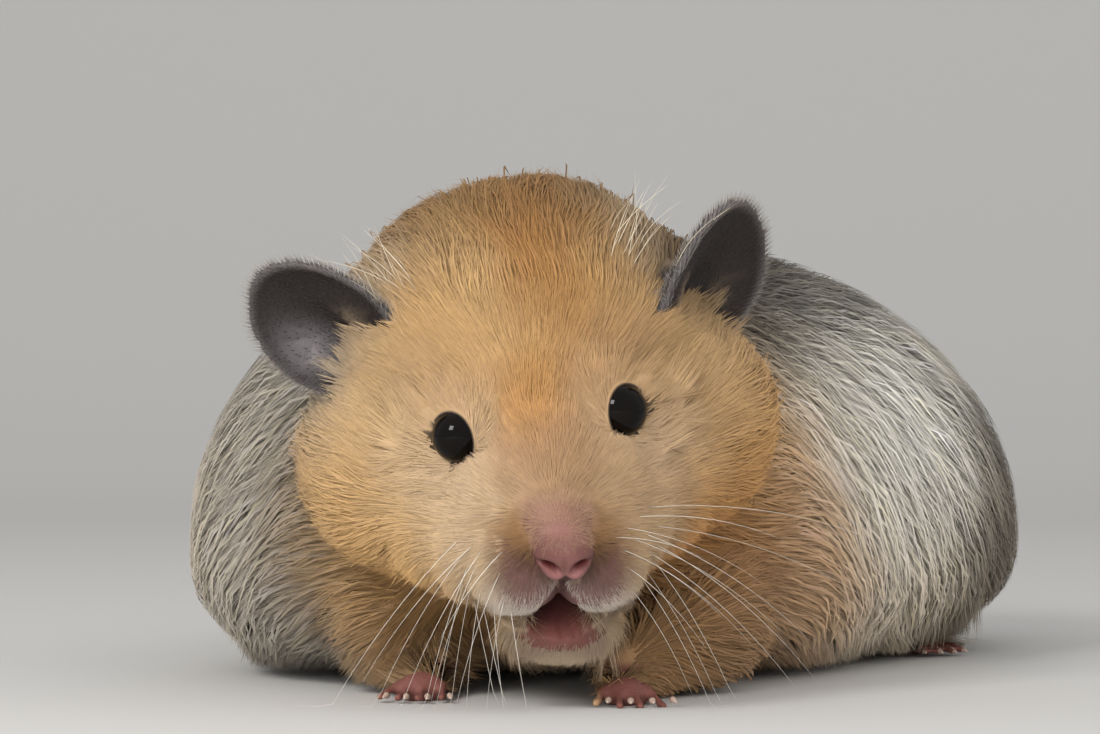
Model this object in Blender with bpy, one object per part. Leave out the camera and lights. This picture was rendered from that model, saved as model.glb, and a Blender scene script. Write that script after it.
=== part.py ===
"""Long-haired Syrian hamster: a life-size still model, crouched on all fours with its head raised.

The solids give the outer form of the animal, out to the tips of its coat. The head and the body
are each blended from a few ellipsoids, then parted by thin cuts into the pieces that a person
would name. Lengths are in millimetres, turned into metres by MM. The animal faces -Y, +Z is up,
and its left side is at +X. The model's origin is on the ground, at the middle of its box.
"""

import math

import bmesh
import bpy
from mathutils import Matrix, Vector

MM = 0.001
GAP = 0.3  # clearance between neighbouring pieces
SIDES = {"left": 1, "right": -1}

# The head's own frame has the point between the eyes at zero, the nose at -Y, the crown at +Z.
EYE_HEIGHT = 28.7
HEAD_SHIFT = -1.0
HEAD_PITCH = 24.0  # nose down
HEAD_ROLL = -9.0  # the left eye stands higher than the right
HEAD_YAW = 2.0
HEAD_END = 23.0  # how far behind the eyes the head meets the neck
HEAD_BASE = -24.5  # the height, in the head's frame, where the throat meets the chest
EYE_RADIUS = 2.9
EYE_CENTRE = (8.1, 0.5, 0.0)
NOSE_CENTRE = (0.0, -13.6, -6.6)
NOSE_RADII = (3.1, 2.9, 3.0)
MOUTH_CENTRE = (0.0, -9.5, -16.8)
MOUTH_RADII = (4.0, 5.0, 2.2)
JAW_TOP = -16.8
JAW_BACK = 3.0

EAR_LENGTH = 19.0
EAR_WIDTH = 13.8
EAR_THICKNESS = 1.2
EAR_DISH = 3.2  # how far the shell's middle lies behind its rim
EAR_ROOTS = {"left": (14.7, 11.5, -1.6), "right": (-12.7, 11.5, 1.4)}
EAR_TURNS = {"left": (-8.0, 34.0, 36.0), "right": (-8.0, -47.0, -12.0)}  # back, out, about itself

NECK_END = 36.0
COAT_BASE = 1.5  # the lowest reach of the coat
SHOULDER = (15.6, 25.5, 7.0)
SHOULDER_RADII = (15.0, 17.0, 19.0)
HIP = (27.0, 98.0, 14.0)
HIP_RADII = (17.0, 21.0, 19.0)
SPINE_BEND = 16.0  # how far the hips lie to the left of the shoulders' line
TAIL_ROOT = (22.5, 124.0, 15.0)
TAIL_TIP = (25.5, 133.0, 11.0)
TAIL_RADIUS = 2.0
SPINE = (  # middle, distance behind the eyes, half width, height of the back, height of the belly
    (-2.0, 14.0, 13.0, 40.0, 10.0),
    (-2.0, 26.0, 26.0, 50.0, 3.0),
    (-2.0, 40.0, 37.2, 50.3, COAT_BASE),
    (1.5, 58.0, 42.5, 50.0, COAT_BASE),
    (9.0, 78.0, 45.0, 51.0, COAT_BASE),
    (SPINE_BEND, 96.0, 42.0, 48.5, COAT_BASE),
    (20.0, 112.0, 35.0, 42.0, 2.0),
    (22.5, 123.0, 22.0, 31.0, 5.0),
    (23.5, 127.0, 12.0, 23.0, 9.0),
)
WIDEST = 0.27  # share of the trunk's height at which it is widest

FEET = {  # heel on the ground, turn about +Z, length, width, number of toes, spread of the toes
    "forefoot_left": ((8.5, 15.5), 4.0, 11.0, 6.2, 4, 16.0),
    "forefoot_right": ((-12.5, 21.0), -6.0, 11.0, 6.2, 4, 16.0),
    "hindfoot_left": ((41.0, 97.0), 16.0, 19.0, 6.6, 5, 12.0),
    "hindfoot_right": ((-13.0, 92.0), -16.0, 19.0, 6.6, 5, 12.0),
}

FORM_TRIANGLES = 1850
FOOT_TRIANGLES = 180
FORM_VOXEL = 0.8
FOOT_VOXEL = 0.35

MATERIALS = {  # colour and roughness of each kind of piece
    "coat_gold": ((0.46, 0.26, 0.11), 0.8),
    "coat_cream": ((0.42, 0.36, 0.29), 0.8),
    "skin_pink": ((0.40, 0.18, 0.14), 0.6),
    "ear_grey": ((0.06, 0.048, 0.044), 0.75),
    "eye_black": ((0.006, 0.005, 0.005), 0.08),
}
KINDS = {  # the material of the pieces whose names start so
    "head": "coat_gold",
    "lower_jaw": "coat_cream",
    "nose": "skin_pink",
    "eye": "eye_black",
    "ear": "ear_grey",
    "neck": "coat_gold",
    "trunk": "coat_cream",
    "foreleg": "coat_cream",
    "hindleg": "coat_cream",
    "forefoot": "skin_pink",
    "hindfoot": "skin_pink",
    "tail": "skin_pink",
}


def clear_scene():
    """Removes every object of the open scene."""
    for obj in list(bpy.data.objects):
        bpy.data.objects.remove(obj)


def turn(x=0.0, y=0.0, z=0.0):
    """A rotation by these angles in degrees, about X, then Y, then Z."""
    about_x = Matrix.Rotation(math.radians(x), 4, "X")
    about_y = Matrix.Rotation(math.radians(y), 4, "Y")
    return Matrix.Rotation(math.radians(z), 4, "Z") @ about_y @ about_x


BODY = Matrix.Identity(4)
HEAD = Matrix.Translation((HEAD_SHIFT, 0.0, EYE_HEIGHT)) @ turn(HEAD_PITCH, HEAD_ROLL, HEAD_YAW)


# ---- small tools ------------------------------------------------------------------------------


def ball(shape, centre, radii, frame=BODY, tilt=BODY, fineness=4):
    """Adds an ellipsoid to the bmesh."""
    placed = frame @ Matrix.Translation(centre) @ tilt @ Matrix.Diagonal((*radii, 1.0))
    bmesh.ops.create_icosphere(
        shape, subdivisions=fineness, radius=1.0, matrix=Matrix.Scale(MM, 4) @ placed
    )


def pair(shape, centre, radii, frame=BODY, tilt=(0.0, 0.0, 0.0)):
    """Adds an ellipsoid and its mirror image across the frame's middle plane."""
    for side in SIDES.values():
        place = (side * centre[0], centre[1], centre[2])
        ball(shape, place, radii, frame, turn(tilt[0], side * tilt[1], side * tilt[2]))


def limb(shape, start, end, start_radius, end_radius, steps=6):
    """Adds a round limb that tapers from start to end, as a chain of balls."""
    for step in range(steps + 1):
        share = step / steps
        radius = start_radius + (end_radius - start_radius) * share
        ball(shape, Vector(start).lerp(Vector(end), share), (radius,) * 3, fineness=3)


def as_object(name, shape):
    """An object that holds the bmesh, which is freed."""
    mesh = bpy.data.meshes.new(name)
    shape.to_mesh(mesh)
    shape.free()
    return linked(name, mesh)


def linked(name, mesh):
    """An object of this mesh, in the scene."""
    obj = bpy.data.objects.new(name, mesh)
    bpy.context.scene.collection.objects.link(obj)
    return obj


def settle(obj):
    """Replaces the object's mesh by its evaluated one, and removes its modifiers."""
    bpy.context.view_layer.update()
    evaluated = obj.evaluated_get(bpy.context.evaluated_depsgraph_get())
    mesh = bpy.data.meshes.new_from_object(evaluated)
    obj.modifiers.clear()
    obj.data = mesh
    return obj


def triangles(mesh):
    """How many triangles the mesh has."""
    return sum(len(face.vertices) - 2 for face in mesh.polygons)


def blended(name, shape, voxel, smoothing, wanted):
    """One smooth closed form from overlapping shapes, thinned to about so many triangles."""
    obj = as_object(name, shape)
    remesh = obj.modifiers.new("one_body", "REMESH")
    remesh.mode = "VOXEL"
    remesh.voxel_size = voxel * MM
    smooth = obj.modifiers.new("soft_creases", "SMOOTH")
    smooth.factor = 0.5
    smooth.iterations = smoothing
    settle(obj)
    thin = obj.modifiers.new("thin_out", "DECIMATE")
    thin.ratio = min(1.0, wanted / triangles(obj.data))
    return settle(obj)


def boolean(obj, cutter, operation):
    """Cuts obj by the cutter, keeps what they share, or joins them."""
    cut = obj.modifiers.new(operation.lower(), "BOOLEAN")
    cut.operation = operation
    cut.solver = "EXACT"
    cut.object = cutter
    return settle(obj)


def shared(name, obj, cutter):
    """A new object: what obj shares with the cutter."""
    return boolean(linked(name, obj.data.copy()), cutter, "INTERSECT")


def swollen(obj, by=GAP):
    """A copy whose surface stands out by so many millimetres."""
    twin = linked(obj.name + "_swollen", obj.data.copy())
    grow = twin.modifiers.new("grow", "DISPLACE")
    grow.strength = by * MM
    grow.mid_level = 0.0
    return settle(twin)


def carve(obj, *others):
    """Cuts room for the other pieces out of obj, with the clearance round them."""
    for other in others:
        cutter = swollen(other)
        boolean(obj, cutter, "DIFFERENCE")
        remove(cutter)
    return obj


def remove(*objects):
    """Takes helpers out of the scene."""
    for obj in objects:
        bpy.data.objects.remove(obj)


def block(low, high, frame=BODY):
    """A box between two corners of the frame, as a cutter."""
    low, high = Vector(low), Vector(high)
    shape = bmesh.new()
    placed = frame @ Matrix.Translation((low + high) / 2) @ Matrix.Diagonal((*(high - low), 1.0))
    bmesh.ops.create_cube(shape, size=1.0, matrix=Matrix.Scale(MM, 4) @ placed)
    return as_object("block", shape)


def keep_largest(obj):
    """Takes off the crumbs that a cut leaves, all but the largest closed body of the mesh."""
    shape = bmesh.new()
    shape.from_mesh(obj.data)
    waiting, bodies = set(shape.verts), []
    while waiting:
        body, edge = set(), [waiting.pop()]
        while edge:
            vertex = edge.pop()
            body.add(vertex)
            near = {link.other_vert(vertex) for link in vertex.link_edges} & waiting
            waiting -= near
            edge.extend(near)
        bodies.append(body)
    bodies.sort(key=len)
    crumbs = [vertex for body in bodies[:-1] for vertex in body]
    bmesh.ops.delete(shape, geom=crumbs, context="VERTS")
    shape.to_mesh(obj.data)
    shape.free()


def egg(centre, radii, frame=BODY, grown=0.0):
    """An ellipsoid as a cutter or a piece of its own."""
    shape = bmesh.new()
    ball(shape, centre, tuple(radius + grown for radius in radii), frame, fineness=3)
    return as_object("egg", shape)


# ---- forms ------------------------------------------------------------------------------------


def catmull(before, near, far, after, share):
    """A point on the Catmull-Rom curve between near and far."""
    return 0.5 * (
        2.0 * near
        + (far - before) * share
        + (2.0 * before - 5.0 * near + 4.0 * far - after) * share**2
        + (3.0 * near - before - 3.0 * far + after) * share**3
    )


def station(place):
    """The five sizes of SPINE at any place along it, counted in stations."""
    first = min(int(place), len(SPINE) - 2)
    rows = [SPINE[min(max(row, 0), len(SPINE) - 1)] for row in range(first - 1, first + 3)]
    return [catmull(*sizes, place - first) for sizes in zip(*rows)]


def trunk_form(shape, steps=28, spokes=32):
    """Adds the coat's outline round the trunk: an arched back over flanks that drop as a skirt."""
    rings = []
    for step in range(steps + 1):
        middle, back, half_width, top, base = station(step / steps * (len(SPINE) - 1))
        waist = base + (top - base) * WIDEST
        ring = []
        for spoke in range(spokes):
            angle = math.tau * spoke / spokes
            across, up = math.cos(angle), math.sin(angle)
            if up < 0.0:
                across = math.copysign(abs(across) ** 0.54, across)
                up = -(abs(up) ** 0.54)
            height = waist + up * ((top - waist) if up > 0.0 else (waist - base))
            place = Vector((middle + half_width * across, back, height))
            ring.append(shape.verts.new(place * MM))
        rings.append(ring)
    for near, far in zip(rings, rings[1:]):
        for k in range(spokes):
            after = (k + 1) % spokes
            shape.faces.new((near[k], near[after], far[after], far[k]))
    shape.faces.new(rings[0][::-1])
    shape.faces.new(rings[-1])


def outer_form():
    """The whole coated animal but for its feet, ears, eyes and tail."""
    shape = bmesh.new()
    ball(shape, (0.0, 18.3, 1.0), (21.5, 17.3, 14.5), HEAD)  # cranium
    ball(shape, (0.0, 23.0, 4.5), (17.0, 12.0, 12.5), HEAD)  # crown and nape
    pair(shape, (12.6, 15.0, -8.5), (12.5, 14.0, 12.5), HEAD)  # cheeks
    pair(shape, (12.5, 16.5, -3.0), (10.5, 12.5, 10.5), HEAD)  # between cheek and crown
    pair(shape, (9.0, 5.0, -10.5), (8.0, 9.0, 8.5), HEAD)  # fronts of the cheek pouches
    pair(shape, (6.0, -2.0, -10.5), (6.5, 7.0, 7.0), HEAD)  # backs of the whisker pads
    ball(shape, (0.0, 5.6, 0.6), (8.2, 12.3, 7.6), HEAD, turn(30.0))  # forehead
    ball(shape, (0.0, -3.5, -2.6), (5.8, 9.0, 5.2), HEAD, turn(34.0))  # between the eyes
    ball(shape, (0.0, -8.0, -6.6), (5.3, 7.5, 4.6), HEAD, turn(30.0))  # bridge
    pair(shape, (3.9, -7.8, -11.4), (5.2, 5.8, 5.3), HEAD)  # whisker pads
    ball(shape, (0.0, -4.0, -19.4), (6.4, 7.2, 4.4), HEAD)  # chin
    ball(shape, (0.0, 8.0, -14.5), (13.0, 13.0, 9.0), HEAD)  # throat
    ball(shape, NOSE_CENTRE, NOSE_RADII, HEAD)
    trunk_form(shape)
    ball(shape, (-2.0, 27.0, 34.0), (20.0, 15.0, 18.0))  # nape
    for side, sign in SIDES.items():
        heel, _, _, width, _, _ = FEET[f"forefoot_{side}"]
        chest = (sign * SHOULDER[0], SHOULDER[1], SHOULDER[2])
        limb(shape, chest, (heel[0], heel[1] + 1.0, width * 0.45), 7.5, width * 0.55)
    return blended("outer_form", shape, FORM_VOXEL, 10, FORM_TRIANGLES)


def foot(name, frame, length, width, toes, spread):
    """A foot in its own frame, heel at zero and toes towards -Y, with a flat sole at the ground."""
    shape = bmesh.new()
    heel, palm = width * 0.36, width * 0.5
    for share in (0.0, 0.25, 0.5, 0.68):
        radius = heel + (palm - heel) * share
        centre = (0.0, -length * share, radius * 0.62)
        ball(shape, centre, (radius, length * 0.22, radius * 0.85), frame, fineness=3)
    for toe in range(toes):
        place = 2.0 * toe / (toes - 1) - 1.0
        angle = math.radians(spread * place)
        reach = length * (0.98 - 0.10 * place * place)
        root = Vector((place * palm * 0.72, -length * 0.70, 1.3))
        tip = Vector((root.x + math.sin(angle) * length * 0.2, -reach, 0.9))
        thick = width * 0.115
        for step in range(5):
            share = step / 4
            centre = root.lerp(tip, share)
            ball(shape, centre, (thick, thick * 1.25, thick), frame, fineness=2)
        claw = tip + Vector((math.sin(angle) * 1.0, -1.5, -0.15))
        for step in range(4):
            share = step / 3
            size = thick * (0.75 - 0.42 * share)
            ball(shape, tip.lerp(claw, share), (size, size * 1.3, size), frame, fineness=2)
    obj = blended(name, shape, FOOT_VOXEL, 1, FOOT_TRIANGLES)
    ground = block((-300.0, -300.0, -50.0), (300.0, 300.0, 0.0))
    boolean(obj, ground, "DIFFERENCE")
    remove(ground)
    return obj


def ear(side):
    """A dished ear shell with an egg-shaped rim, its opening towards -Y of its frame."""
    shape = bmesh.new()
    rings, spokes = 6, 20
    bmesh.ops.create_circle(shape, cap_ends=True, segments=spokes, radius=1.0)
    for _ in range(rings - 1):
        centre = [face for face in shape.faces if len(face.verts) == spokes]
        bmesh.ops.inset_region(shape, faces=centre, thickness=1.0 / rings)
    middle = [face for face in shape.faces if len(face.verts) == spokes]
    bmesh.ops.poke(shape, faces=middle)
    for vertex in shape.verts:
        x, y = vertex.co.x, vertex.co.y
        off = min(1.0, math.hypot(x, y))
        narrowing = 1.0 - 0.30 * max(0.0, -y) ** 1.5
        vertex.co.x = x * EAR_WIDTH / 2 * narrowing
        vertex.co.z = (y + 1.0) * EAR_LENGTH / 2
        vertex.co.y = EAR_DISH * (1.0 - off * off) + 1.6 * max(0.0, y) ** 2
    bmesh.ops.recalc_face_normals(shape, faces=shape.faces[:])
    bmesh.ops.transform(shape, matrix=Matrix.Scale(MM, 4) @ ear_frame(side), verts=shape.verts[:])
    obj = as_object(f"ear_{side}", shape)
    wall = obj.modifiers.new("wall", "SOLIDIFY")
    wall.thickness = EAR_THICKNESS * MM
    wall.offset = 0.0
    wall.use_even_offset = True
    round_rim = obj.modifiers.new("round_rim", "BEVEL")
    round_rim.width = 0.35 * MM
    round_rim.segments = 1
    round_rim.limit_method = "ANGLE"
    round_rim.angle_limit = math.radians(50.0)
    return settle(obj)


def ear_frame(side):
    """Where one ear's root sits on the head, and how the ear is turned."""
    back, out, spin = EAR_TURNS[side]
    return HEAD @ Matrix.Translation(EAR_ROOTS[side]) @ turn(back, out) @ turn(z=spin)


# ---- pieces -----------------------------------------------------------------------------------


def make_head_pieces(whole, head_room):
    """Head, jaw, nose, eyes and ears, which touch each other across the clearance only."""
    nose_room = egg(NOSE_CENTRE, NOSE_RADII, HEAD, grown=0.25)
    jaw_room = block((-9.5, -40.0, -40.0), (9.5, JAW_BACK, JAW_TOP), HEAD)
    mouth = egg(MOUTH_CENTRE, MOUTH_RADII, HEAD)
    head = shared("head", whole, head_room)
    nose = shared("nose", whole, nose_room)
    jaw = shared("lower_jaw", head, jaw_room)
    carve(head, nose_room, jaw_room)
    boolean(head, mouth, "DIFFERENCE")
    boolean(jaw, mouth, "DIFFERENCE")
    pieces = [head, jaw, nose]
    for side, sign in SIDES.items():
        place = (sign * EYE_CENTRE[0], EYE_CENTRE[1], EYE_CENTRE[2])
        eye = egg(place, (EYE_RADIUS,) * 3, HEAD)
        eye.name = f"eye_{side}"
        carve(head, eye)
        pieces.append(eye)
    for side in SIDES:
        pieces.append(ear(side))
    carve(pieces[-2], head)
    carve(pieces[-1], head)
    remove(nose_room, jaw_room, mouth)
    return pieces


def make_body_pieces(whole, head_room, feet, tail):
    """Neck, trunk and the four legs, cut from what the head leaves of the form."""
    above_ground = block((-150.0, -60.0, COAT_BASE), (150.0, 250.0, 150.0))
    carve(whole, head_room, *feet, tail)
    boolean(whole, above_ground, "INTERSECT")
    neck_room = block((-150.0, -60.0, -60.0), (150.0, NECK_END - GAP, 150.0))
    trunk_room = block((-150.0, NECK_END, -60.0), (150.0, 250.0, 150.0))
    neck = shared("neck", whole, neck_room)
    trunk = shared("trunk", whole, trunk_room)
    legs = []
    for side, sign in SIDES.items():
        shoulder = egg((SHOULDER[0] * sign, SHOULDER[1], SHOULDER[2]), SHOULDER_RADII)
        hip = egg((HIP[0] * sign + SPINE_BEND, HIP[1], HIP[2]), HIP_RADII)
        legs.append(shared(f"foreleg_{side}", whole, shoulder))
        legs.append(shared(f"hindleg_{side}", whole, hip))
        carve(trunk, shoulder, hip)
        carve(neck, shoulder)
        remove(shoulder, hip)
    remove(above_ground, neck_room, trunk_room)
    return [neck, trunk, *legs]


def make_feet():
    """Four feet flat on the ground, under the coat."""
    feet = []
    for name, (heel, angle, length, width, toes, spread) in FEET.items():
        frame = Matrix.Translation((*heel, 0.0)) @ turn(z=angle)
        feet.append(foot(name, frame, length, width, toes, spread))
    return feet


def make_tail():
    """The short tail stub that shows behind the coat."""
    shape = bmesh.new()
    limb(shape, TAIL_ROOT, TAIL_TIP, TAIL_RADIUS, TAIL_RADIUS * 0.45)
    return blended("tail", shape, 0.5, 2, 120)


def paint(pieces):
    """Gives every piece the material of its kind."""
    made = {}
    for name, (colour, roughness) in MATERIALS.items():
        made[name] = bpy.data.materials.new(name)
        made[name].use_nodes = True
        shader = made[name].node_tree.nodes["Principled BSDF"]
        shader.inputs["Base Color"].default_value = (*colour, 1.0)
        shader.inputs["Roughness"].default_value = roughness
    for piece in pieces:
        kind = next(KINDS[start] for start in KINDS if piece.name.startswith(start))
        piece.data.materials.clear()
        piece.data.materials.append(made[kind])


def centre(pieces):
    """Moves the animal sideways and lengthways, so that its box stands over the origin."""
    corners = [vertex.co for piece in pieces for vertex in piece.data.vertices]
    shift = Matrix.Translation(
        [-(min(c[k] for c in corners) + max(c[k] for c in corners)) / 2 for k in (0, 1)] + [0.0]
    )
    for piece in pieces:
        piece.data.transform(shift)


def main():
    """Builds the hamster, colours it and centres it over the origin."""
    clear_scene()
    feet, tail, whole = make_feet(), make_tail(), outer_form()
    head_room = block((-25.5, -90.0, HEAD_BASE), (25.5, HEAD_END, 90.0), HEAD)
    pieces = [
        *make_head_pieces(whole, head_room),
        *make_body_pieces(whole, head_room, feet, tail),
        *feet,
        tail,
    ]
    remove(whole, head_room)
    for piece in pieces:
        keep_largest(piece)
    paint(pieces)
    centre(pieces)


if __name__ == "__main__":
    main()
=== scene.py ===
"""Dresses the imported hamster: one skin under its flesh, wet eyes, claws, whiskers and a long coat.

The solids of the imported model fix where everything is. This script measures the eyes, sets up the
same head and body frames that the solids were made in, grows one closed skin inside them, and
plants the coat on that skin. Lengths are in millimetres until a mesh is finished. The animal
faces -Y, +Z is up, and its left side is at +X.
"""

from __future__ import annotations

import logging
import math
from dataclasses import dataclass, field
from enum import Enum

import bmesh
import bpy
import numpy as np
from mathutils import Matrix, Vector
from mathutils.bvhtree import BVHTree
from mathutils.kdtree import KDTree

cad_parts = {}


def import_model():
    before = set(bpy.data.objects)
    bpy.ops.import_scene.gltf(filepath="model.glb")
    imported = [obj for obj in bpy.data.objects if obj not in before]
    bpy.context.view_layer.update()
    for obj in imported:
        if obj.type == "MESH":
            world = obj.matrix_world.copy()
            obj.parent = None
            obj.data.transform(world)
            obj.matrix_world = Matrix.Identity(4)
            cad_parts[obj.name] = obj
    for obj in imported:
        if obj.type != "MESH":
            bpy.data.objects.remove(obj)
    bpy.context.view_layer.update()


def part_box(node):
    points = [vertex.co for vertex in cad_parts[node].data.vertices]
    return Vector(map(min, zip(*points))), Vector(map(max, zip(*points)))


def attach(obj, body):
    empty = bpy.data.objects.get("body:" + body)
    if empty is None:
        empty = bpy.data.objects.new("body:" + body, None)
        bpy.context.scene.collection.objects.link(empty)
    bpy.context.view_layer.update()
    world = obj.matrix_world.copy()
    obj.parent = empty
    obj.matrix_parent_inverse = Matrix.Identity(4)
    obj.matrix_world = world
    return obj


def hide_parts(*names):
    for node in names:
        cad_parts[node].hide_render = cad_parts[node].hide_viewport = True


LOG = logging.getLogger("hamster")
MM = 0.001
PALEST = 0.95  # no strand is paler than this
DARK_RIM = 2.5  # degrees of dark skin round an eye's opening
BACK_HALF = 24.0  # half the width of the back's piece of coat
BACK_LOW = 24.0  # height at which the flanks begin
MOUTH_PINK, MOUTH_INWARD_SHADE = (0.155, 0.050, 0.044), (0.050, 0.017, 0.014)  # and the painted shade that darkens it further in
# the nostrils' red is darkened with painted shade inside their pits
RIM_BLACK, NOSTRIL_RED_AND_SHADE = np.array((0.008, 0.006, 0.005)), np.array((0.09, 0.012, 0.012))
# the second grey serves the ears' pale rims and a painted sheen inside them
EAR_DARK, EAR_RIM_AND_SHEEN_GREY = np.array((0.013, 0.0085, 0.0075)), np.array((0.14, 0.127, 0.135))
DOWN_DARK, DOWN_PALE = np.array((0.06, 0.045, 0.04)), np.array((0.30, 0.27, 0.25))
# the pink of the bare feet and tail, darkened with painted shade
SHADED_FOOT_PINK = np.array((0.17, 0.062, 0.05))
WHISKER_WHITE, BROW_WHITE = np.array((0.86, 0.82, 0.74)), np.array((0.80, 0.70, 0.54))
PATCH = 0.0015  # half the size of a tuft's patch in the bake map
Array = np.ndarray
Triple = tuple[float, float, float]


class Side(Enum):
    """The animal's own left and right."""

    LEFT = 1
    RIGHT = -1


class Place(Enum):
    """The frame that a size is given in."""

    BODY = "body"
    HEAD = "head"


# ---- frames ----


def turn(x: float = 0.0, y: float = 0.0, z: float = 0.0) -> Matrix:
    """A rotation about X, then Y, then Z.

    Args:
        x: Degrees about X.
        y: Degrees about Y.
        z: Degrees about Z.

    Returns:
        The rotation as a 4 by 4 matrix.
    """
    about_x = Matrix.Rotation(math.radians(x), 4, "X")
    about_y = Matrix.Rotation(math.radians(y), 4, "Y")
    return Matrix.Rotation(math.radians(z), 4, "Z") @ about_y @ about_x


def moved(points: Array, matrix: Matrix) -> Array:
    """Takes points through a matrix.

    Args:
        points: Rows of x, y, z.
        matrix: A 4 by 4 matrix.

    Returns:
        The points in the matrix's target frame.
    """
    table = np.array(matrix)
    return points @ table[:3, :3].T + table[:3, 3]


def unit(vectors: Array) -> Array:
    """The rows of vectors at length one."""
    return vectors / np.maximum(np.linalg.norm(vectors, axis=1, keepdims=True), 1e-9)


def far_squared(at: Array, centre: Triple | Array, radii: Triple) -> Array:
    """The squared distances of points from a place, counted in radii along each axis."""
    return (((at - centre) / radii) ** 2).sum(axis=1)


def ramp(values: Array, start: float, end: float) -> Array:
    """A smooth step.

    Args:
        values: What is judged.
        start: The value at which the step begins.
        end: The value at which it is done.

    Returns:
        Numbers from 0 to 1.
    """
    share = np.clip((values - start) / (end - start), 0.0, 1.0)
    return share * share * (3.0 - 2.0 * share)


def centres(shape: Lump | Mark | Growth) -> list[Array]:
    """Where a shape's middle is and, where the shape is paired, its mirror image's."""
    sides = Side if shape.paired else (Side.LEFT,)
    return [np.array(shape.centre) * (side.value, 1.0, 1.0) for side in sides]


@dataclass
class Stance:
    """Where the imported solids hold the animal: its head frame, and the shift of the whole.

    Attributes:
        eye_height: Height of the point between the eyes over the ground.
        head_shift: How far left of the body's mid-line the head sits.
        eye_back: How far the eyes' centres lie behind the head frame's zero.
        pitch: How far the nose points down, in degrees.
        roll: Lean of the head, in degrees.
        yaw: Turn of the head, in degrees.
        shift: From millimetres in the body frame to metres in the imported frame.
        head: From the head frame to the body frame.
        eyes: The eyes' centres, in the head frame.
        eye_radius: Radius of the eyes' solids.
        lid_gap: Half the angle of the eyes' opening, in degrees.
    """

    eye_height: float = 28.7
    head_shift: float = -1.0
    eye_back: float = 0.5
    pitch: float = 24.0
    roll: float = -9.0
    yaw: float = 2.0
    shift: Vector = field(default_factory=Vector)
    head: Matrix = field(default_factory=Matrix)
    eyes: dict[Side, Vector] = field(default_factory=dict)
    eye_radius: float = 2.9
    lid_gap: float = 72.0

    def measure(self) -> None:
        """Reads the eyes' boxes and sets the frames by them."""
        found = {}
        for side in Side:
            low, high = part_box(f"eye_{side.name.lower()}")
            found[side] = (low + high) / 2
            self.eye_radius = (high.z - low.z) / 2 / MM
        turned = turn(self.pitch, self.roll, self.yaw)
        self.head = Matrix.Translation((self.head_shift, 0.0, self.eye_height)) @ turned
        between = self.head @ Vector((0.0, self.eye_back, 0.0))
        middle = (found[Side.LEFT] + found[Side.RIGHT]) / 2
        self.shift = middle - between * MM
        for side, centre in found.items():
            self.eyes[side] = self.to_head() @ ((centre - self.shift) / MM)

    def to_head(self) -> Matrix:
        """From the body frame to the head frame."""
        return self.head.inverted()

    def turned(self, ways: Array) -> Array:
        """Directions of the head frame in the body frame."""
        return ways @ np.array(self.head)[:3, :3].T

    def from_eye(self, points: Array, side: Side) -> Array:
        """Offsets of body points from an eye's centre, in the head frame."""
        return moved(points, self.to_head()) - np.array(self.eyes[side])

    def askew(self, at: Array) -> tuple[Array, Array]:
        """How the muzzle sits in the rolled head: a shift to its right, and a lean back upright."""
        shift = 1.2 * ramp(6.0 - at[:, 1], 0.0, 10.0) * ramp(-at[:, 2], 7.0, 17.5)
        return shift, 0.15 * ramp(-at[:, 1], 4.0, 12.0)

    def face(self, points: Array) -> Array:
        """Body millimetres in the face's own frame, where the muzzle stands straight.

        Args:
            points: Points in body millimetres.

        Returns:
            Points of the face's frame.
        """
        at = moved(points, self.to_head())
        shift, lean = self.askew(at)
        at[:, 0] += shift
        at[:, 2] += at[:, 0] * lean
        return at

    def set_askew(self, at: Array) -> None:
        """Takes points of the face's own frame to the head frame, in place.

        Args:
            at: The points, which are changed.
        """
        shift, lean = self.askew(at)
        at[:, 2] -= at[:, 0] * lean
        at[:, 0] -= shift

    def gaze(self, side: Side) -> Array:
        """The way an eye looks, in the head frame."""
        return unit(np.array([[side.value * 0.68, -0.72, 0.12]]))[0]

    def lid_angle(self, off: Array, side: Side) -> Array:
        """Degrees from an eye's gaze, a little more to the sides, as its opening is upright.

        Args:
            off: Offsets from the eye's centre, in the head frame.
            side: Which eye.

        Returns:
            The angles.
        """
        gaze = self.gaze(side)
        level = unit(np.cross(gaze, (0.0, 0.0, 1.0))[None])[0]
        way = unit(off)
        ahead, across = way @ gaze, way @ level
        angle = np.degrees(np.arccos(np.clip(ahead, -1.0, 1.0)))
        return angle + 4.0 * across**2 / np.maximum(1.0 - ahead**2, 1e-6)

    def packed(self, points: Array) -> Array:
        """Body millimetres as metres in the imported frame."""
        return points * MM + np.array(self.shift)


# ---- the form ----


@dataclass(frozen=True)
class Lump:
    """An ellipsoid of the body's form, as the coat's outline has it.

    Attributes:
        centre: Its middle.
        radii: Its three radii, out to the tips of the coat.
        depth: How deep the coat is there.
        tilt: Degrees about X.
        paired: Whether its mirror image is there too.
        place: The frame of centre and tilt.
    """

    centre: Triple
    radii: Triple
    depth: float
    tilt: float = 0.0
    paired: bool = False
    place: Place = Place.HEAD


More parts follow.
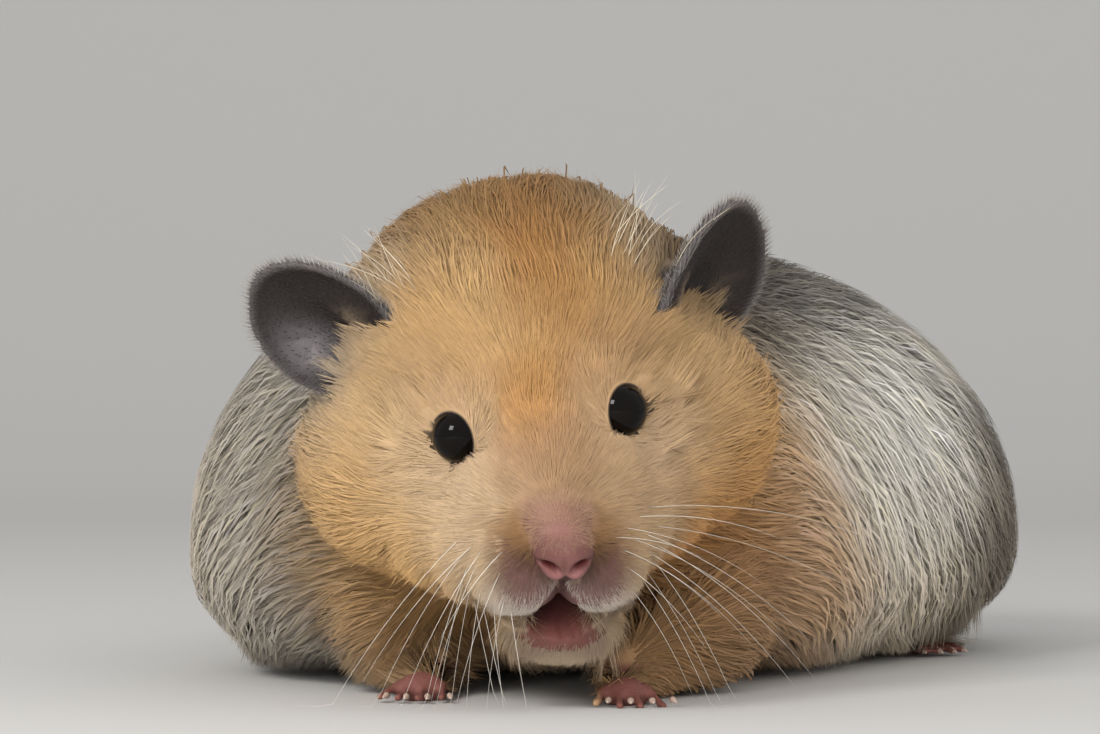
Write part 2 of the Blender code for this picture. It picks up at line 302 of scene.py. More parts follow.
LUMPS = (
    Lump((0.0, 18.3, 1.0), (21.5, 17.3, 14.5), 2.6),  # cranium
    Lump((0.0, 23.0, 4.5), (17.0, 12.0, 12.5), 3.2),  # crown
    Lump((12.6, 15.0, -8.5), (12.5, 14.0, 12.5), 2.8, paired=True),  # cheeks
    Lump((12.5, 16.5, -3.0), (10.5, 12.5, 10.5), 2.8, paired=True),  # cheek to crown
    Lump((9.0, 5.0, -10.5), (8.0, 9.0, 8.5), 1.6, paired=True),  # cheek pouches
    Lump((6.0, -2.0, -10.5), (6.5, 7.0, 7.0), 0.9, paired=True),  # behind the whisker pads
    Lump((4.7, -3.6, -6.0), (4.8, 6.0, 5.2), 0.9, paired=True),  # from the pads to the bridge
    Lump((7.5, 4.0, -5.0), (6.5, 7.2, 6.0), 1.0, paired=True),  # under the eyes
    Lump((6.2, 1.7, 0.5), (4.2, 4.0, 4.4), 0.3, paired=True),  # inner lids
    Lump((10.4, 2.9, -1.2), (3.8, 3.9, 4.2), 0.3, paired=True),  # outer lids
    Lump((0.0, 5.6, 0.6), (8.2, 12.3, 7.6), 1.4, 30.0),  # forehead
    Lump((0.0, -3.5, -2.6), (5.8, 9.0, 5.2), 0.8, 34.0),  # between the eyes
    Lump((0.0, -8.0, -6.6), (5.3, 7.5, 4.6), 0.6, 30.0),  # bridge of the nose
    Lump((0.0, -11.0, -5.4), (4.0, 4.2, 3.9), 0.5),  # behind the nose pad
    Lump((3.9, -7.8, -11.4), (5.2, 5.8, 5.3), 0.7, paired=True),  # whisker pads
    Lump((0.0, -4.0, -19.4), (6.4, 7.2, 4.4), 0.9),  # chin
    Lump((0.0, 8.0, -14.5), (13.0, 13.0, 9.0), 2.0),  # throat
    Lump((0.0, -13.5, -6.6), (3.2, 2.9, 3.2), 0.05),  # nose pad
    Lump((-2.0, 27.0, 34.0), (20.0, 15.0, 18.0), 3.8, place=Place.BODY),  # nape
)


@dataclass(frozen=True)
class Ring:
    """One cross-section of the trunk's outline.

    Attributes:
        middle: How far left of the mid-line its middle is.
        back: How far behind the eyes it is.
        half_width: Half its width.
        top: Height of the back.
        base: Height of the belly's coat.
    """

    middle: float
    back: float
    half_width: float
    top: float
    base: float


SPINE = (
    Ring(-2.0, 14.0, 13.0, 40.0, 10.0),
    Ring(-2.0, 26.0, 26.0, 50.0, 3.0),
    Ring(-2.0, 40.0, 37.2, 50.3, 1.5),
    Ring(1.5, 58.0, 42.5, 50.0, 1.5),
    Ring(9.0, 78.0, 45.0, 51.0, 1.5),
    Ring(16.0, 96.0, 42.0, 48.5, 1.5),
    Ring(20.0, 112.0, 35.0, 42.0, 2.0),
    Ring(22.5, 123.0, 22.0, 31.0, 5.0),
    Ring(23.5, 127.0, 12.0, 23.0, 9.0),
)


@dataclass(frozen=True)
class Foot:
    """One foot on the ground.

    Attributes:
        heel: Where the heel is.
        angle: Degrees about +Z.
        length: From heel to toe tips.
        width: Across the palm.
        toes: How many toes.
        spread: Degrees from the middle to the outer toes.
    """

    heel: tuple[float, float]
    angle: float
    length: float
    width: float
    toes: int
    spread: float

    def frame(self) -> Matrix:
        """From the foot's own frame, heel at zero and toes towards -Y, to the body frame."""
        return Matrix.Translation((*self.heel, 0.0)) @ turn(z=self.angle)

    def toe(self, number: int) -> tuple[Vector, Vector, Vector]:
        """The root, tip and claw point of one toe, in the foot's own frame.

        Args:
            number: Which toe, from 0.

        Returns:
            The three places.
        """
        place = 2.0 * number / (self.toes - 1) - 1.0
        angle = math.radians(self.spread * place)
        root = Vector((place * self.width * 0.41, -self.length * 0.62, 1.5))
        reach = self.length * (1.0 - 0.10 * place * place)
        tip = Vector((root.x + math.sin(angle) * self.length * 0.25, -reach, 0.75))
        claw = tip + Vector((math.sin(angle) * 0.8, -1.2, -0.15))
        return root, tip, claw


FEET = {
    "forefoot_left": Foot((8.5, 15.5), 4.0, 11.0, 6.2, 4, 16.0),
    "forefoot_right": Foot((-12.5, 21.0), -6.0, 11.0, 6.2, 4, 16.0),
    "hindfoot_left": Foot((41.0, 97.0), 16.0, 19.0, 6.6, 5, 12.0),
    "hindfoot_right": Foot((-13.0, 92.0), -16.0, 19.0, 6.6, 5, 12.0),
}


@dataclass(frozen=True)
class Ear:
    """One ear: a dished shell with an egg-shaped rim.

    Attributes:
        root: Where it meets the head, in the head frame.
        back: Degrees that it leans back.
        out: Degrees that it leans out.
        spin: Degrees about its own length.
        length: From root to tip.
        width: Its greatest width.
        thick: Thickness of the shell.
        dish: How far its middle lies behind its rim.
    """

    root: Triple
    back: float
    out: float
    spin: float
    length: float = 18.9
    width: float = 13.7
    thick: float = 1.05
    dish: float = 3.2

    def frame(self, head: Matrix) -> Matrix:
        """From the ear's own frame to the body frame."""
        placed = Matrix.Translation(self.root) @ turn(self.back, self.out) @ turn(z=self.spin)
        return head @ placed


EARS = {
    Side.LEFT: Ear((14.7, 11.5, -1.6), -8.0, 34.0, 36.0),
    Side.RIGHT: Ear((-12.7, 11.5, 1.4), -8.0, -47.0, -12.0),
}


def spine_middle(at: Array) -> Array:
    """How far left of the mid-line the spine runs beside points in body millimetres."""
    return np.interp(at[:, 1], [ring.back for ring in SPINE], [ring.middle for ring in SPINE])


def spine_at(places: Array, depth: Ring) -> Array:
    """The trunk's sizes anywhere along it, less the coat's depth.

    Args:
        places: Places along the spine, counted in rings.
        depth: What to take off each size.

    Returns:
        Rows of middle, back, half width, top and base.
    """
    rows = np.array([[r.middle, r.back, r.half_width, r.top, r.base] for r in SPINE])
    off = np.array([depth.middle, depth.back, depth.half_width, depth.top, depth.base])
    last = len(rows) - 1
    first = np.clip(places.astype(int), 0, last - 1)
    share = (places - first)[:, None]
    before, near, far, after = (rows[np.clip(first + k, 0, last)] for k in (-1, 0, 1, 2))
    curve = 0.5 * (
        2.0 * near
        + (far - before) * share
        + (2.0 * before - 5.0 * near + 4.0 * far - after) * share**2
        + (3.0 * near - before - 3.0 * far + after) * share**3
    )
    return curve - off


@dataclass
class Form:
    """The body's closed form, from overlapping shapes blended into one.

    Attributes:
        stance: The frames.
        coat: The share of the coat's depth to take off, 1 for the skin and 0 for the outline.
        voxel: Size of the blending grid.
        smoothing: How many smoothing steps.
        wanted: About how many triangles to keep.
    """

    stance: Stance
    coat: float
    voxel: float
    smoothing: int
    wanted: int

    def build(self, name: str) -> bpy.types.Object:
        """Makes the form.

        Args:
            name: Name of the new object.

        Returns:
            The object, its mesh in body millimetres.
        """
        shape = bmesh.new()
        for lump in LUMPS:
            self.add_lump(shape, lump)
        for eye in self.stance.eyes.values():
            placed = self.stance.head @ Matrix.Translation(eye)
            self.add_ball(shape, placed, (self.stance.eye_radius * 1.12,) * 3)
        self.add_trunk(shape)
        for foot in FEET.values():
            self.add_foot(shape, foot)
        self.add_legs(shape)
        for ear in EARS.values():
            self.add_ear(shape, ear)
        self.add_limb(shape, (22.5, 121.0, 15.6), (25.5, 132.7, 11.0), 1.9, 0.8)
        return self.blended(name, shape)

    def add_ball(self, shape: bmesh.types.BMesh, placed: Matrix, radii: Triple, fine: int = 4) -> None:
        """Adds one ellipsoid, placed by a matrix."""
        grown = placed @ Matrix.Diagonal((*radii, 1.0))
        bmesh.ops.create_icosphere(shape, subdivisions=fine, radius=1.0, matrix=grown)

    def add_lump(self, shape: bmesh.types.BMesh, lump: Lump) -> None:
        """Adds a lump of the form and, where it is paired, its mirror image.

        Args:
            shape: The shapes so far, which are added to.
            lump: The lump.
        """
        base = self.stance.head if lump.place is Place.HEAD else Matrix.Identity(4)
        radii = tuple(radius - lump.depth * self.coat for radius in lump.radii)
        for centre in centres(lump):
            placed = base @ Matrix.Translation(Vector(centre)) @ turn(lump.tilt)
            self.add_ball(shape, placed, radii)

    def add_trunk(self, shape: bmesh.types.BMesh) -> None:
        """Adds the trunk: a sphere whose parallels become the spine's rings.

        Args:
            shape: The shapes so far, which are added to.
        """
        made = bmesh.ops.create_uvsphere(shape, u_segments=48, v_segments=44, radius=1.0)
        at = np.array([vertex.co for vertex in made["verts"]])
        reach = np.arcsin(np.clip(at[:, 2], -1.0, 1.0)) / math.pi + 0.5
        around = np.arctan2(at[:, 1], at[:, 0])
        trim = self.coat
        depth = Ring(0.0, 0.0, 4.8 * trim, 4.4 * trim, -3.5 * trim)
        middle, back, half, top, base = spine_at(reach * (len(SPINE) - 1), depth).T
        ends = np.sqrt(np.clip(1.0 - (np.maximum(0.0, np.abs(reach - 0.5) - 0.44) / 0.06) ** 2, 0, 1))
        back = back + (reach - 0.5) * -6.0 * trim
        waist = base + (top - base) * 0.27
        across, up = np.cos(around), np.sin(around)
        low = up < 0.0
        across = np.where(low, np.sign(across) * np.abs(across) ** 0.54, across)
        up = np.where(low, -(np.abs(up) ** 0.54), up)
        x = middle + half * across * ends
        z = waist + up * np.where(low, waist - base, top - waist) * ends
        for vertex, place in zip(made["verts"], np.stack((x, back, z), axis=1)):
            vertex.co = place

    def add_limb(
        self, shape: bmesh.types.BMesh, start: Triple, end: Triple, thick: float, thin: float
    ) -> None:
        """Adds a round limb that tapers from thick at start to thin at end.

        Args:
            shape: The shapes so far, which are added to.
            start: Where it starts.
            end: Where it ends.
            thick: Its radius at the start.
            thin: Its radius at the end.
        """
        for step in range(8):
            place = Vector(start).lerp(Vector(end), step / 7)
            radius = thick + (thin - thick) * step / 7
            self.add_ball(shape, Matrix.Translation(place), (radius,) * 3, 3)

    def add_legs(self, shape: bmesh.types.BMesh) -> None:
        """Adds what joins each foot to the body.

        Args:
            shape: The shapes so far, which are added to.
        """
        trim = self.coat
        for side in Side:
            fore = FEET[f"forefoot_{side.name.lower()}"]
            wrist = (fore.heel[0], fore.heel[1] + 1.0, fore.width * 0.45)
            self.add_limb(shape, (side.value * 15.6, 25.5, 8.0), wrist, 7.5 - 1.5 * trim, 2.9)
            hind = FEET[f"hindfoot_{side.name.lower()}"]
            ankle = (hind.heel[0], hind.heel[1] - 1.0, hind.width * 0.42)
            self.add_limb(shape, (hind.heel[0] - side.value, hind.heel[1] + 1.0, 14.0), ankle, 6.0, 2.4)

    def add_foot(self, shape: bmesh.types.BMesh, foot: Foot) -> None:
        """Adds a foot with its toes.

        Args:
            shape: The shapes so far, which are added to.
            foot: The foot.
        """
        heel, palm = foot.width * 0.36 - 0.1, foot.width * 0.5 - 0.1
        for share in (0.0, 0.2, 0.4, 0.56):
            radius = heel + (palm - heel) * share
            placed = foot.frame() @ Matrix.Translation((0.0, -foot.length * share, radius * 0.5))
            self.add_ball(shape, placed, (radius, foot.length * 0.20, radius * 0.68), 3)
        thick = foot.width * 0.098
        for number in range(foot.toes):
            root, tip, _ = foot.toe(number)
            for step in range(6):
                bulge = 1.0 + 0.12 * math.cos(step / 5 * math.tau)
                placed = foot.frame() @ Matrix.Translation(root.lerp(tip, step / 5))
                self.add_ball(shape, placed, (thick * bulge, thick * 1.3, thick * bulge), 2)

    def add_ear(self, shape: bmesh.types.BMesh, ear: Ear) -> None:
        """Adds an ear's shell, dished and thickened.

        Args:
            shape: The shapes so far, which are added to.
            ear: The ear.
        """
        part = bmesh.new()
        spokes, rings = 40, 12
        bmesh.ops.create_circle(part, cap_ends=True, segments=spokes, radius=1.0)
        for _ in range(rings - 1):
            inner = [face for face in part.faces if len(face.verts) == spokes]
            bmesh.ops.inset_region(part, faces=inner, thickness=1.0 / rings)
        inner = [face for face in part.faces if len(face.verts) == spokes]
        bmesh.ops.poke(part, faces=inner)
        for vertex in part.verts:
            x, y = vertex.co.x, vertex.co.y
            off = min(1.0, math.hypot(x, y))
            vertex.co.x = x * ear.width / 2 * (1.0 - 0.30 * max(0.0, -y) ** 1.5)
            vertex.co.z = (y + 1.0) * ear.length / 2
            vertex.co.y = ear.dish * (1.0 - off * off) + 1.6 * max(0.0, y) ** 2
        bmesh.ops.recalc_face_normals(part, faces=part.faces[:])
        for vertex in part.verts:
            vertex.co += vertex.normal * ear.thick / 2
        bmesh.ops.solidify(part, geom=part.faces[:], thickness=ear.thick)
        bmesh.ops.recalc_face_normals(part, faces=part.faces[:])
        bmesh.ops.transform(part, matrix=ear.frame(self.stance.head), verts=part.verts[:])
        mesh = bpy.data.meshes.new("ear_shell")
        part.to_mesh(mesh)
        part.free()
        shape.from_mesh(mesh)
        bpy.data.meshes.remove(mesh)

    def blended(self, name: str, shape: bmesh.types.BMesh) -> bpy.types.Object:
        """One smooth closed body from the overlapping shapes.

        Args:
            name: Name of the new object.
            shape: The shapes, which are freed.

        Returns:
            The object.
        """
        mesh = bpy.data.meshes.new(name)
        shape.to_mesh(mesh)
        shape.free()
        body = placed_object(name, mesh)
        remesh = body.modifiers.new("one_body", "REMESH")
        remesh.mode = "VOXEL"
        remesh.voxel_size = self.voxel
        smooth = body.modifiers.new("soft_creases", "SMOOTH")
        smooth.factor = 0.5
        smooth.iterations = self.smoothing
        settle(body)
        count = triangle_count(body.data)
        if count > self.wanted:
            thin = body.modifiers.new("thin_out", "DECIMATE")
            thin.ratio = self.wanted / count
            settle(body)
        return body


# ---- mesh helpers ----


def settle(piece: bpy.types.Object) -> None:
    """Replaces a piece's mesh by its evaluated one and removes its modifiers.

    Args:
        piece: The piece.
    """
    bpy.context.view_layer.update()
    evaluated = piece.evaluated_get(bpy.context.evaluated_depsgraph_get())
    mesh = bpy.data.meshes.new_from_object(evaluated)
    old = piece.data
    piece.modifiers.clear()
    piece.data = mesh
    bpy.data.meshes.remove(old)


def triangle_count(mesh: bpy.types.Mesh) -> int:
    """How many triangles a mesh's faces make."""
    return sum(len(face.vertices) - 2 for face in mesh.polygons)


def corners(mesh: bpy.types.Mesh) -> tuple[Array, Array]:
    """A triangle mesh as arrays.

    Args:
        mesh: The mesh, of triangles only.

    Returns:
        The points and each triangle's three point numbers.
    """
    points = np.empty(len(mesh.vertices) * 3, np.float32)
    mesh.vertices.foreach_get("co", points)
    ids = np.empty(len(mesh.loops), np.int32)
    mesh.loops.foreach_get("vertex_index", ids)
    return points.reshape(-1, 3).astype(float), ids.reshape(-1, 3)


def joined(name: str, points: Array, triangles: Array) -> bpy.types.Object:
    """An object of many small shapes joined in one mesh.

    Args:
        name: Name of the new object.
        points: Rows of x, y, z, in metres.
        triangles: Rows of three point numbers.

    Returns:
        The object, in the scene.
    """
    mesh = bpy.data.meshes.new(name)
    mesh.vertices.add(len(points))
    mesh.vertices.foreach_set("co", points.astype(np.float32).ravel())
    mesh.loops.add(triangles.size)
    mesh.loops.foreach_set("vertex_index", triangles.astype(np.int32).ravel())
    mesh.polygons.add(len(triangles))
    mesh.polygons.foreach_set("loop_start", np.arange(0, triangles.size, 3, dtype=np.int32))
    mesh.update(calc_edges=True)
    mesh.shade_smooth()
    return placed_object(name, mesh)


def placed_object(name: str, data: bpy.types.ID) -> bpy.types.Object:
    """An object of a mesh, a camera or a light, in the scene.

    Args:
        name: Its name.
        data: The mesh, camera or light.

    Returns:
        The object.
    """
    piece = bpy.data.objects.new(name, data)
    bpy.context.scene.collection.objects.link(piece)
    return piece


def strand_triangles(count: int, steps: int, other_way: bool = False) -> Array:
    """The triangles of three-sided strands, whose points run in rings of three up to each tip.

    Args:
        count: How many strands.
        steps: Lengths along each.
        other_way: Whether the rings run the other way round.

    Returns:
        Rows of three point numbers.
    """
    faces = [(0, 2, 1)]
    for number in range(steps - 1):
        for k in range(3):
            a, b = 3 * number + k, 3 * number + (k + 1) % 3
            faces += [(a, b, b + 3), (a, b + 3, a + 3)]
    last = 3 * (steps - 1)
    faces += [(last + k, last + (k + 1) % 3, last + 3) for k in range(3)]
    one = np.array(faces)[:, [0, 2, 1]] if other_way else np.array(faces)
    first = (np.arange(count) * (3 * steps + 1))[:, None, None]
    return (one + first).reshape(-1, 3)


def strand_shares(steps: int) -> Array:
    """How far along its strand each point of it is, from 0 to 1."""
    return np.append(np.repeat(np.arange(steps) / steps, 3), 1.0)


def put_bake_map(mesh: bpy.types.Mesh, spots: Array, steps: int) -> None:
    """Gives each strand its own small patch of the OFBake map, at its root's place.

    Args:
        mesh: The strands' mesh.
        spots: Each root's place on the map.
        steps: Lengths along each strand.
    """
    around = np.append(np.tile([-1.0, 1.0, 0.0], steps), 0.0)
    patch = np.stack((around, strand_shares(steps) * 2.0 - 1.0), axis=1) * PATCH
    flat = np.repeat(spots, 3 * steps + 1, axis=0) + np.tile(patch, (len(spots), 1))
    ids = np.empty(len(mesh.loops), np.int32)
    mesh.loops.foreach_get("vertex_index", ids)
    layer = mesh.uv_layers.new(name="OFBake")
    layer.uv.foreach_set("vector", flat[ids].astype(np.float32).ravel())


def put_colours(mesh: bpy.types.Mesh, name: str, colours: Array) -> None:
    """Stores a linear colour per point under a name.

    Args:
        mesh: The mesh.
        name: The name.
        colours: Linear red, green and blue for each point.
    """
    layer = mesh.attributes.new(name, "FLOAT_COLOR", "POINT")
    full = np.ones((len(colours), 4), np.float32)
    full[:, :3] = colours
    layer.data.foreach_set("color", full.ravel())


def put_numbers(mesh: bpy.types.Mesh, name: str, values: Array) -> None:
    """Stores a number per point under a name."""
    layer = mesh.attributes.new(name, "FLOAT", "POINT")
    layer.data.foreach_set("value", values.astype(np.float32))


def put_normals(mesh: bpy.types.Mesh, normals: Array) -> None:
    """Gives each point its own normal, so tufts take their light as the body's form does."""
    mesh.shade_smooth()
    mesh.normals_split_custom_set_from_vertices(normals.astype(np.float32))


# ---- markings, painted highlights and painted shade ----


@dataclass(frozen=True)
class Mark:
    """One soft patch of colour: mostly the coat's markings, at a few places painted highlights and painted
    shade.

    Attributes:
        centre: Its middle.
        reach: How far it spreads along each axis.
        colour: Its linear colour.
        weight: How strongly it holds against its neighbours.
        paired: Whether its mirror image is there too.
        place: The frame of centre and reach.
    """

    centre: Triple
    reach: Triple
    colour: Triple
    weight: float = 1.0
    paired: bool = True
    place: Place = Place.HEAD


COAT_MARKS = (
    Mark((-3.0, 8.0, 8.5), (3.0, 6.0, 4.0), (0.50, 0.34, 0.17), 1.2, False),  # pale streak
    Mark((5.5, 5.0, 7.0), (4.0, 6.0, 5.0), (0.48, 0.275, 0.105)),  # forehead
    Mark((-0.8, -3.0, 2.3), (1.7, 3.0, 2.4), (0.45, 0.22, 0.065), 1.6, False),  # brow mark
    Mark((1.8, 12.0, 9.5), (2.6, 6.0, 3.5), (0.32, 0.125, 0.027), 1.8, False),  # crown streak
    Mark((8.0, 16.0, 13.0), (6.0, 7.0, 5.0), (0.36, 0.20, 0.075)),  # crown
    Mark((12.0, 15.5, 11.0), (3.0, 4.5, 3.5), (0.48, 0.385, 0.27), 1.1),  # pale by the ears
    Mark((0.0, 27.0, 14.0), (14.0, 7.0, 8.0), (0.42, 0.24, 0.095), 1.0, False),  # nape
    Mark((8.6, -0.5, -3.2), (4.0, 3.6, 2.6), (0.54, 0.395, 0.26), 1.7),  # under the eyes
    Mark((8.6, 1.5, 3.0), (3.4, 3.4, 2.0), (0.40, 0.265, 0.16), 1.2),  # over the eyes
    Mark((13.0, 4.0, 4.0), (4.0, 5.0, 4.0), (0.48, 0.31, 0.145)),  # temples
    Mark((15.0, 6.0, -5.0), (5.0, 6.0, 5.0), (0.58, 0.385, 0.195)),  # cheeks
    Mark((18.0, 10.0, -12.0), (6.0, 8.0, 5.0), (0.72, 0.40, 0.14)),  # low cheeks
    Mark((14.0, 6.0, -20.0), (7.0, 8.0, 4.0), (0.50, 0.25, 0.085)),  # under the cheeks
    Mark((0.0, -7.0, -1.5), (3.2, 4.0, 3.0), (0.37, 0.225, 0.125), 1.3, False),  # bridge
    Mark((0.0, -13.6, -4.2), (2.6, 1.8, 0.9), (0.33, 0.19, 0.13), 1.8, False),  # rosy by the nose
    Mark((4.0, -11.9, -6.4), (1.4, 1.8, 1.2), (0.36, 0.185, 0.07), 2.2),  # orange by the nose
    # painted shade darkens the left side of the face, and painted light brightens the right cheek
    Mark((8.0, 2.0, 3.0), (4.5, 4.5, 4.0), (0.38, 0.21, 0.092), 0.8, False),  # painted shade, left brow
    Mark((7.5, -7.5, -6.5), (3.2, 3.2, 3.4), (0.36, 0.21, 0.095), 1.3, False),  # tan left pad, with painted shade
    Mark((15.0, 6.0, -16.0), (6.0, 7.0, 6.0), (0.50, 0.20, 0.045), 1.2, False),  # rust left cheek, painted shade
    Mark((-16.0, 8.0, -16.0), (7.0, 8.0, 6.0), (0.86, 0.52, 0.20), 1.6, False),  # painted light, right cheek
    Mark((3.9, -12.3, -8.5), (1.2, 1.7, 1.5), (0.08, 0.034, 0.025), 3.4),  # painted shade by the nose
    Mark((3.0, -12.3, -10.7), (1.3, 1.7, 1.1), (0.20, 0.11, 0.10), 2.0),  # over the lips
    Mark((7.5, -7.5, -8.0), (3.4, 3.6, 3.6), (0.57, 0.42, 0.27), 1.5),  # whisker pads
    Mark((3.4, -12.0, -14.2), (2.8, 2.0, 1.7), (0.64, 0.57, 0.51), 2.2),  # upper lip
    Mark((0.0, -9.0, -20.2), (6.4, 4.0, 2.6), (0.62, 0.50, 0.36), 2.4, False),  # chin
    Mark((0.0, -10.3, -18.7), (3.8, 1.6, 0.5), (0.26, 0.15, 0.12), 3.5, False),  # lower lip
    Mark((0.0, 1.0, -25.0), (8.0, 6.0, 3.5), (0.46, 0.28, 0.14), 1.2, False),  # under the chin
    Mark((0.0, 16.0, 10.0), (14.0, 8.0, 8.0), (0.46, 0.25, 0.105), 0.9, False, Place.BODY),
    Mark((26.0, 30.0, 10.0), (7.0, 10.0, 11.0), (0.40, 0.20, 0.075), 1.4, False, Place.BODY),
    Mark((-30.0, 34.0, 18.0), (9.0, 16.0, 18.0), (0.24, 0.225, 0.20), 3.0, False, Place.BODY),
    # the smoky back, darkened further with painted shade along its top
    Mark((0.0, 50.0, 51.0), (26.0, 22.0, 7.0), (0.05, 0.042, 0.033), 4.0, False, Place.BODY),
    Mark((6.0, 84.0, 51.0), (26.0, 24.0, 8.5), (0.045, 0.038, 0.03), 4.0, False, Place.BODY),
    # painted shade along the outer side of the left flank
    Mark((50.0, 84.0, 24.0), (4.5, 20.0, 13.0), (0.05, 0.04, 0.03), 4.0, False, Place.BODY),
    # painted highlight on the left flank
    Mark((35.0, 64.0, 30.0), (8.0, 14.0, 7.0), (0.95, 0.94, 0.87), 4.5, False, Place.BODY),
    Mark((40.0, 52.0, 24.0), (14.0, 20.0, 13.0), (0.84, 0.72, 0.56), 1.3, True, Place.BODY),
    Mark((46.0, 82.0, 22.0), (14.0, 22.0, 14.0), (0.56, 0.48, 0.38), 1.0, True, Place.BODY),
    Mark((42.0, 60.0, 4.0), (18.0, 34.0, 8.0), (0.48, 0.40, 0.30), 1.0, True, Place.BODY),
    Mark((22.0, 122.0, 22.0), (24.0, 12.0, 16.0), (0.55, 0.48, 0.38), 1.0, False, Place.BODY),
)
SKIN_MARKS = (
    Mark((0.0, -15.5, -6.6), (2.4, 3.0, 1.7), (0.165, 0.062, 0.055), 2.0, False),  # nose
    Mark((0.0, -16.0, -5.6), (0.9, 2.0, 1.5), (0.27, 0.125, 0.105), 1.2, False),  # painted highlight, its ridge
    Mark((2.6, -14.6, -7.0), (0.9, 2.0, 1.6), (0.12, 0.040, 0.034), 1.6),  # its wings
    Mark((0.0, -14.0, -3.9), (2.6, 3.0, 1.2), (0.22, 0.11, 0.085), 1.4, False),  # top of the nose
    Mark((1.3, -15.0, -9.3), (1.1, 1.4, 0.5), (0.27, 0.11, 0.11), 1.8),  # under the nostrils
    Mark((3.9, -12.0, -8.0), (1.0, 1.8, 1.6), (0.085, 0.032, 0.024), 2.6),  # painted shade beside the nose
    Mark((3.0, -12.4, -10.7), (1.7, 1.8, 1.4), (0.15, 0.07, 0.068), 2.4),  # over the lips
    Mark((3.0, -12.0, -13.4), (2.4, 1.8, 1.5), (0.20, 0.10, 0.096), 1.8),  # lips
    Mark((0.0, -12.0, -12.4), (0.62, 2.0, 2.4), (0.08, 0.034, 0.028), 4.0, False),  # painted shade, groove
    Mark((0.0, -10.0, -19.3), (4.0, 1.6, 0.6), (0.14, 0.05, 0.043), 3.0, False),  # lower lip
)


@dataclass
class Markings:
    """The animal's colours as functions of place, shared by skin and coat.

    Attributes:
        stance: The frames.
        ground: Colour where no patch is strong.
    """

    stance: Stance
    ground: Triple = (0.50, 0.43, 0.34)

    def spread(self, at: Array, marks: tuple[Mark, ...], floor: float) -> tuple[Array, Array]:
        """The patches' colours, blended.

        Args:
            at: Points in body millimetres.
            marks: The patches.
            floor: Weight of the ground colour.

        Returns:
            Rows of linear colour, and how strongly the patches hold at each point.
        """
        in_head = self.stance.face(at)
        total = np.full(len(at), floor)
        colours = np.outer(total, self.ground)
        for mark in marks:
            where = in_head if mark.place is Place.HEAD else at
            for centre in centres(mark):
                weight = mark.weight * np.exp(-0.5 * far_squared(where, centre, mark.reach))
                total += weight
                colours += np.outer(weight, mark.colour)
        return colours / total[:, None], total - floor

    def coat(self, at: Array) -> Array:
        """The coat's colour at points in body millimetres."""
        return self.spread(at, COAT_MARKS, 0.012)[0]

    def skin(self, at: Array) -> Array:
        """The skin's colour: the coat's own, with the bare parts over it.

        Args:
            at: Points in body millimetres.

        Returns:
            Rows of linear colour.
        """
        colour = self.coat(at) * 0.85
        bare, hold = self.spread(at, SKIN_MARKS, 1e-4)
        colour += (bare - colour) * ramp(hold, 0.25, 0.9)[:, None]
        for ear in EARS.values():
            own = moved(at, ear.frame(self.stance.head).inverted())
            within = ear_share(own, ear)
            # painted sheen: a grey patch inside the right ear, faint in the left ear; the grey at the rims
            # is the ears' own
            patch = np.exp(-(((own[:, 0] + 3.4) / 2.2) ** 2) - ((own[:, 2] - 10.0) / 3.4) ** 2)
            patch *= 1.0 if ear is EARS[Side.RIGHT] else 0.15
            rim = ramp(ear_edge(own, ear), 0.86, 1.0)
            tone = EAR_DARK + np.outer(np.clip(patch + 0.6 * rim, 0, 1), EAR_RIM_AND_SHEEN_GREY - EAR_DARK)
            colour += (tone - colour) * within[:, None]
        # the feet and the tail take the pink that is darkened with painted shade
        for foot in FEET.values():
            own = moved(at, foot.frame().inverted())
            inside = ramp(4.4 - own[:, 2], 0.0, 1.2) * ramp(foot.width * 0.75 - np.abs(own[:, 0]), 0.0, 1.0)
            inside *= ramp(own[:, 1] + foot.length + 2.0, 0.0, 1.0) * ramp(2.5 - own[:, 1], 0.0, 1.5)
            colour += (SHADED_FOOT_PINK - colour) * inside[:, None]
        tail = ramp(at[:, 1], 122.0, 125.0) * ramp(9.0 - np.abs(at[:, 0] - 24.0), 0.0, 5.0)
        colour += (SHADED_FOOT_PINK - colour) * (tail * ramp(18.5 - at[:, 2], 0.0, 1.0))[:, None]
        return colour


def ear_edge(own: Array, ear: Ear) -> Array:
    """How far out to the rim points in an ear's frame are: 0 in the middle, 1 at the rim.

    Args:
        own: Points in the ear's frame.
        ear: The ear.

    Returns:
        A number for each point.
    """
    down = own[:, 2] / (ear.length / 2) - 1.0
    narrow = 1.0 - 0.30 * np.maximum(0.0, -down) ** 1.5
    return np.hypot(own[:, 0] / (ear.width / 2 * narrow), down)


def mouth_off(at: Array) -> Array:
    """How far points of the face's frame are from the mouth's middle: 1 at the lips' edge.

    Args:
        at: Points of the face's frame.

    Returns:
        A number for each point, which grows with the square of the distance.
    """
    share = np.clip(1.0 - np.abs(at[:, 0]) / 4.4, 0.0, 1.0)
    top, low = -17.9 + 3.4 * share, -18.1 - 0.3 * share
    high = np.maximum(0.55 * (top - low), 0.3)
    return (at[:, 0] / 4.4) ** 2 + ((at[:, 2] - 0.5 * (top + low)) / high) ** 2


def ear_share(own: Array, ear: Ear) -> Array:
    """How surely points in an ear's frame belong to the ear, from 0 to 1.

    Args:
        own: Points in the ear's frame.
        ear: The ear.

    Returns:
        The shares.
    """
    off = np.minimum(1.0, ear_edge(own, ear))
    down = own[:, 2] / (ear.length / 2) - 1.0
    shell = ear.dish * (1.0 - off * off) + 1.6 * np.maximum(0.0, down) ** 2
    near = ramp(2.2 - np.abs(own[:, 1] - shell), 0.0, 0.8)
    return near * ramp(1.2 - ear_edge(own, ear), 0.0, 0.08) * ramp(own[:, 2], 1.0, 3.0)


# ---- noise ----


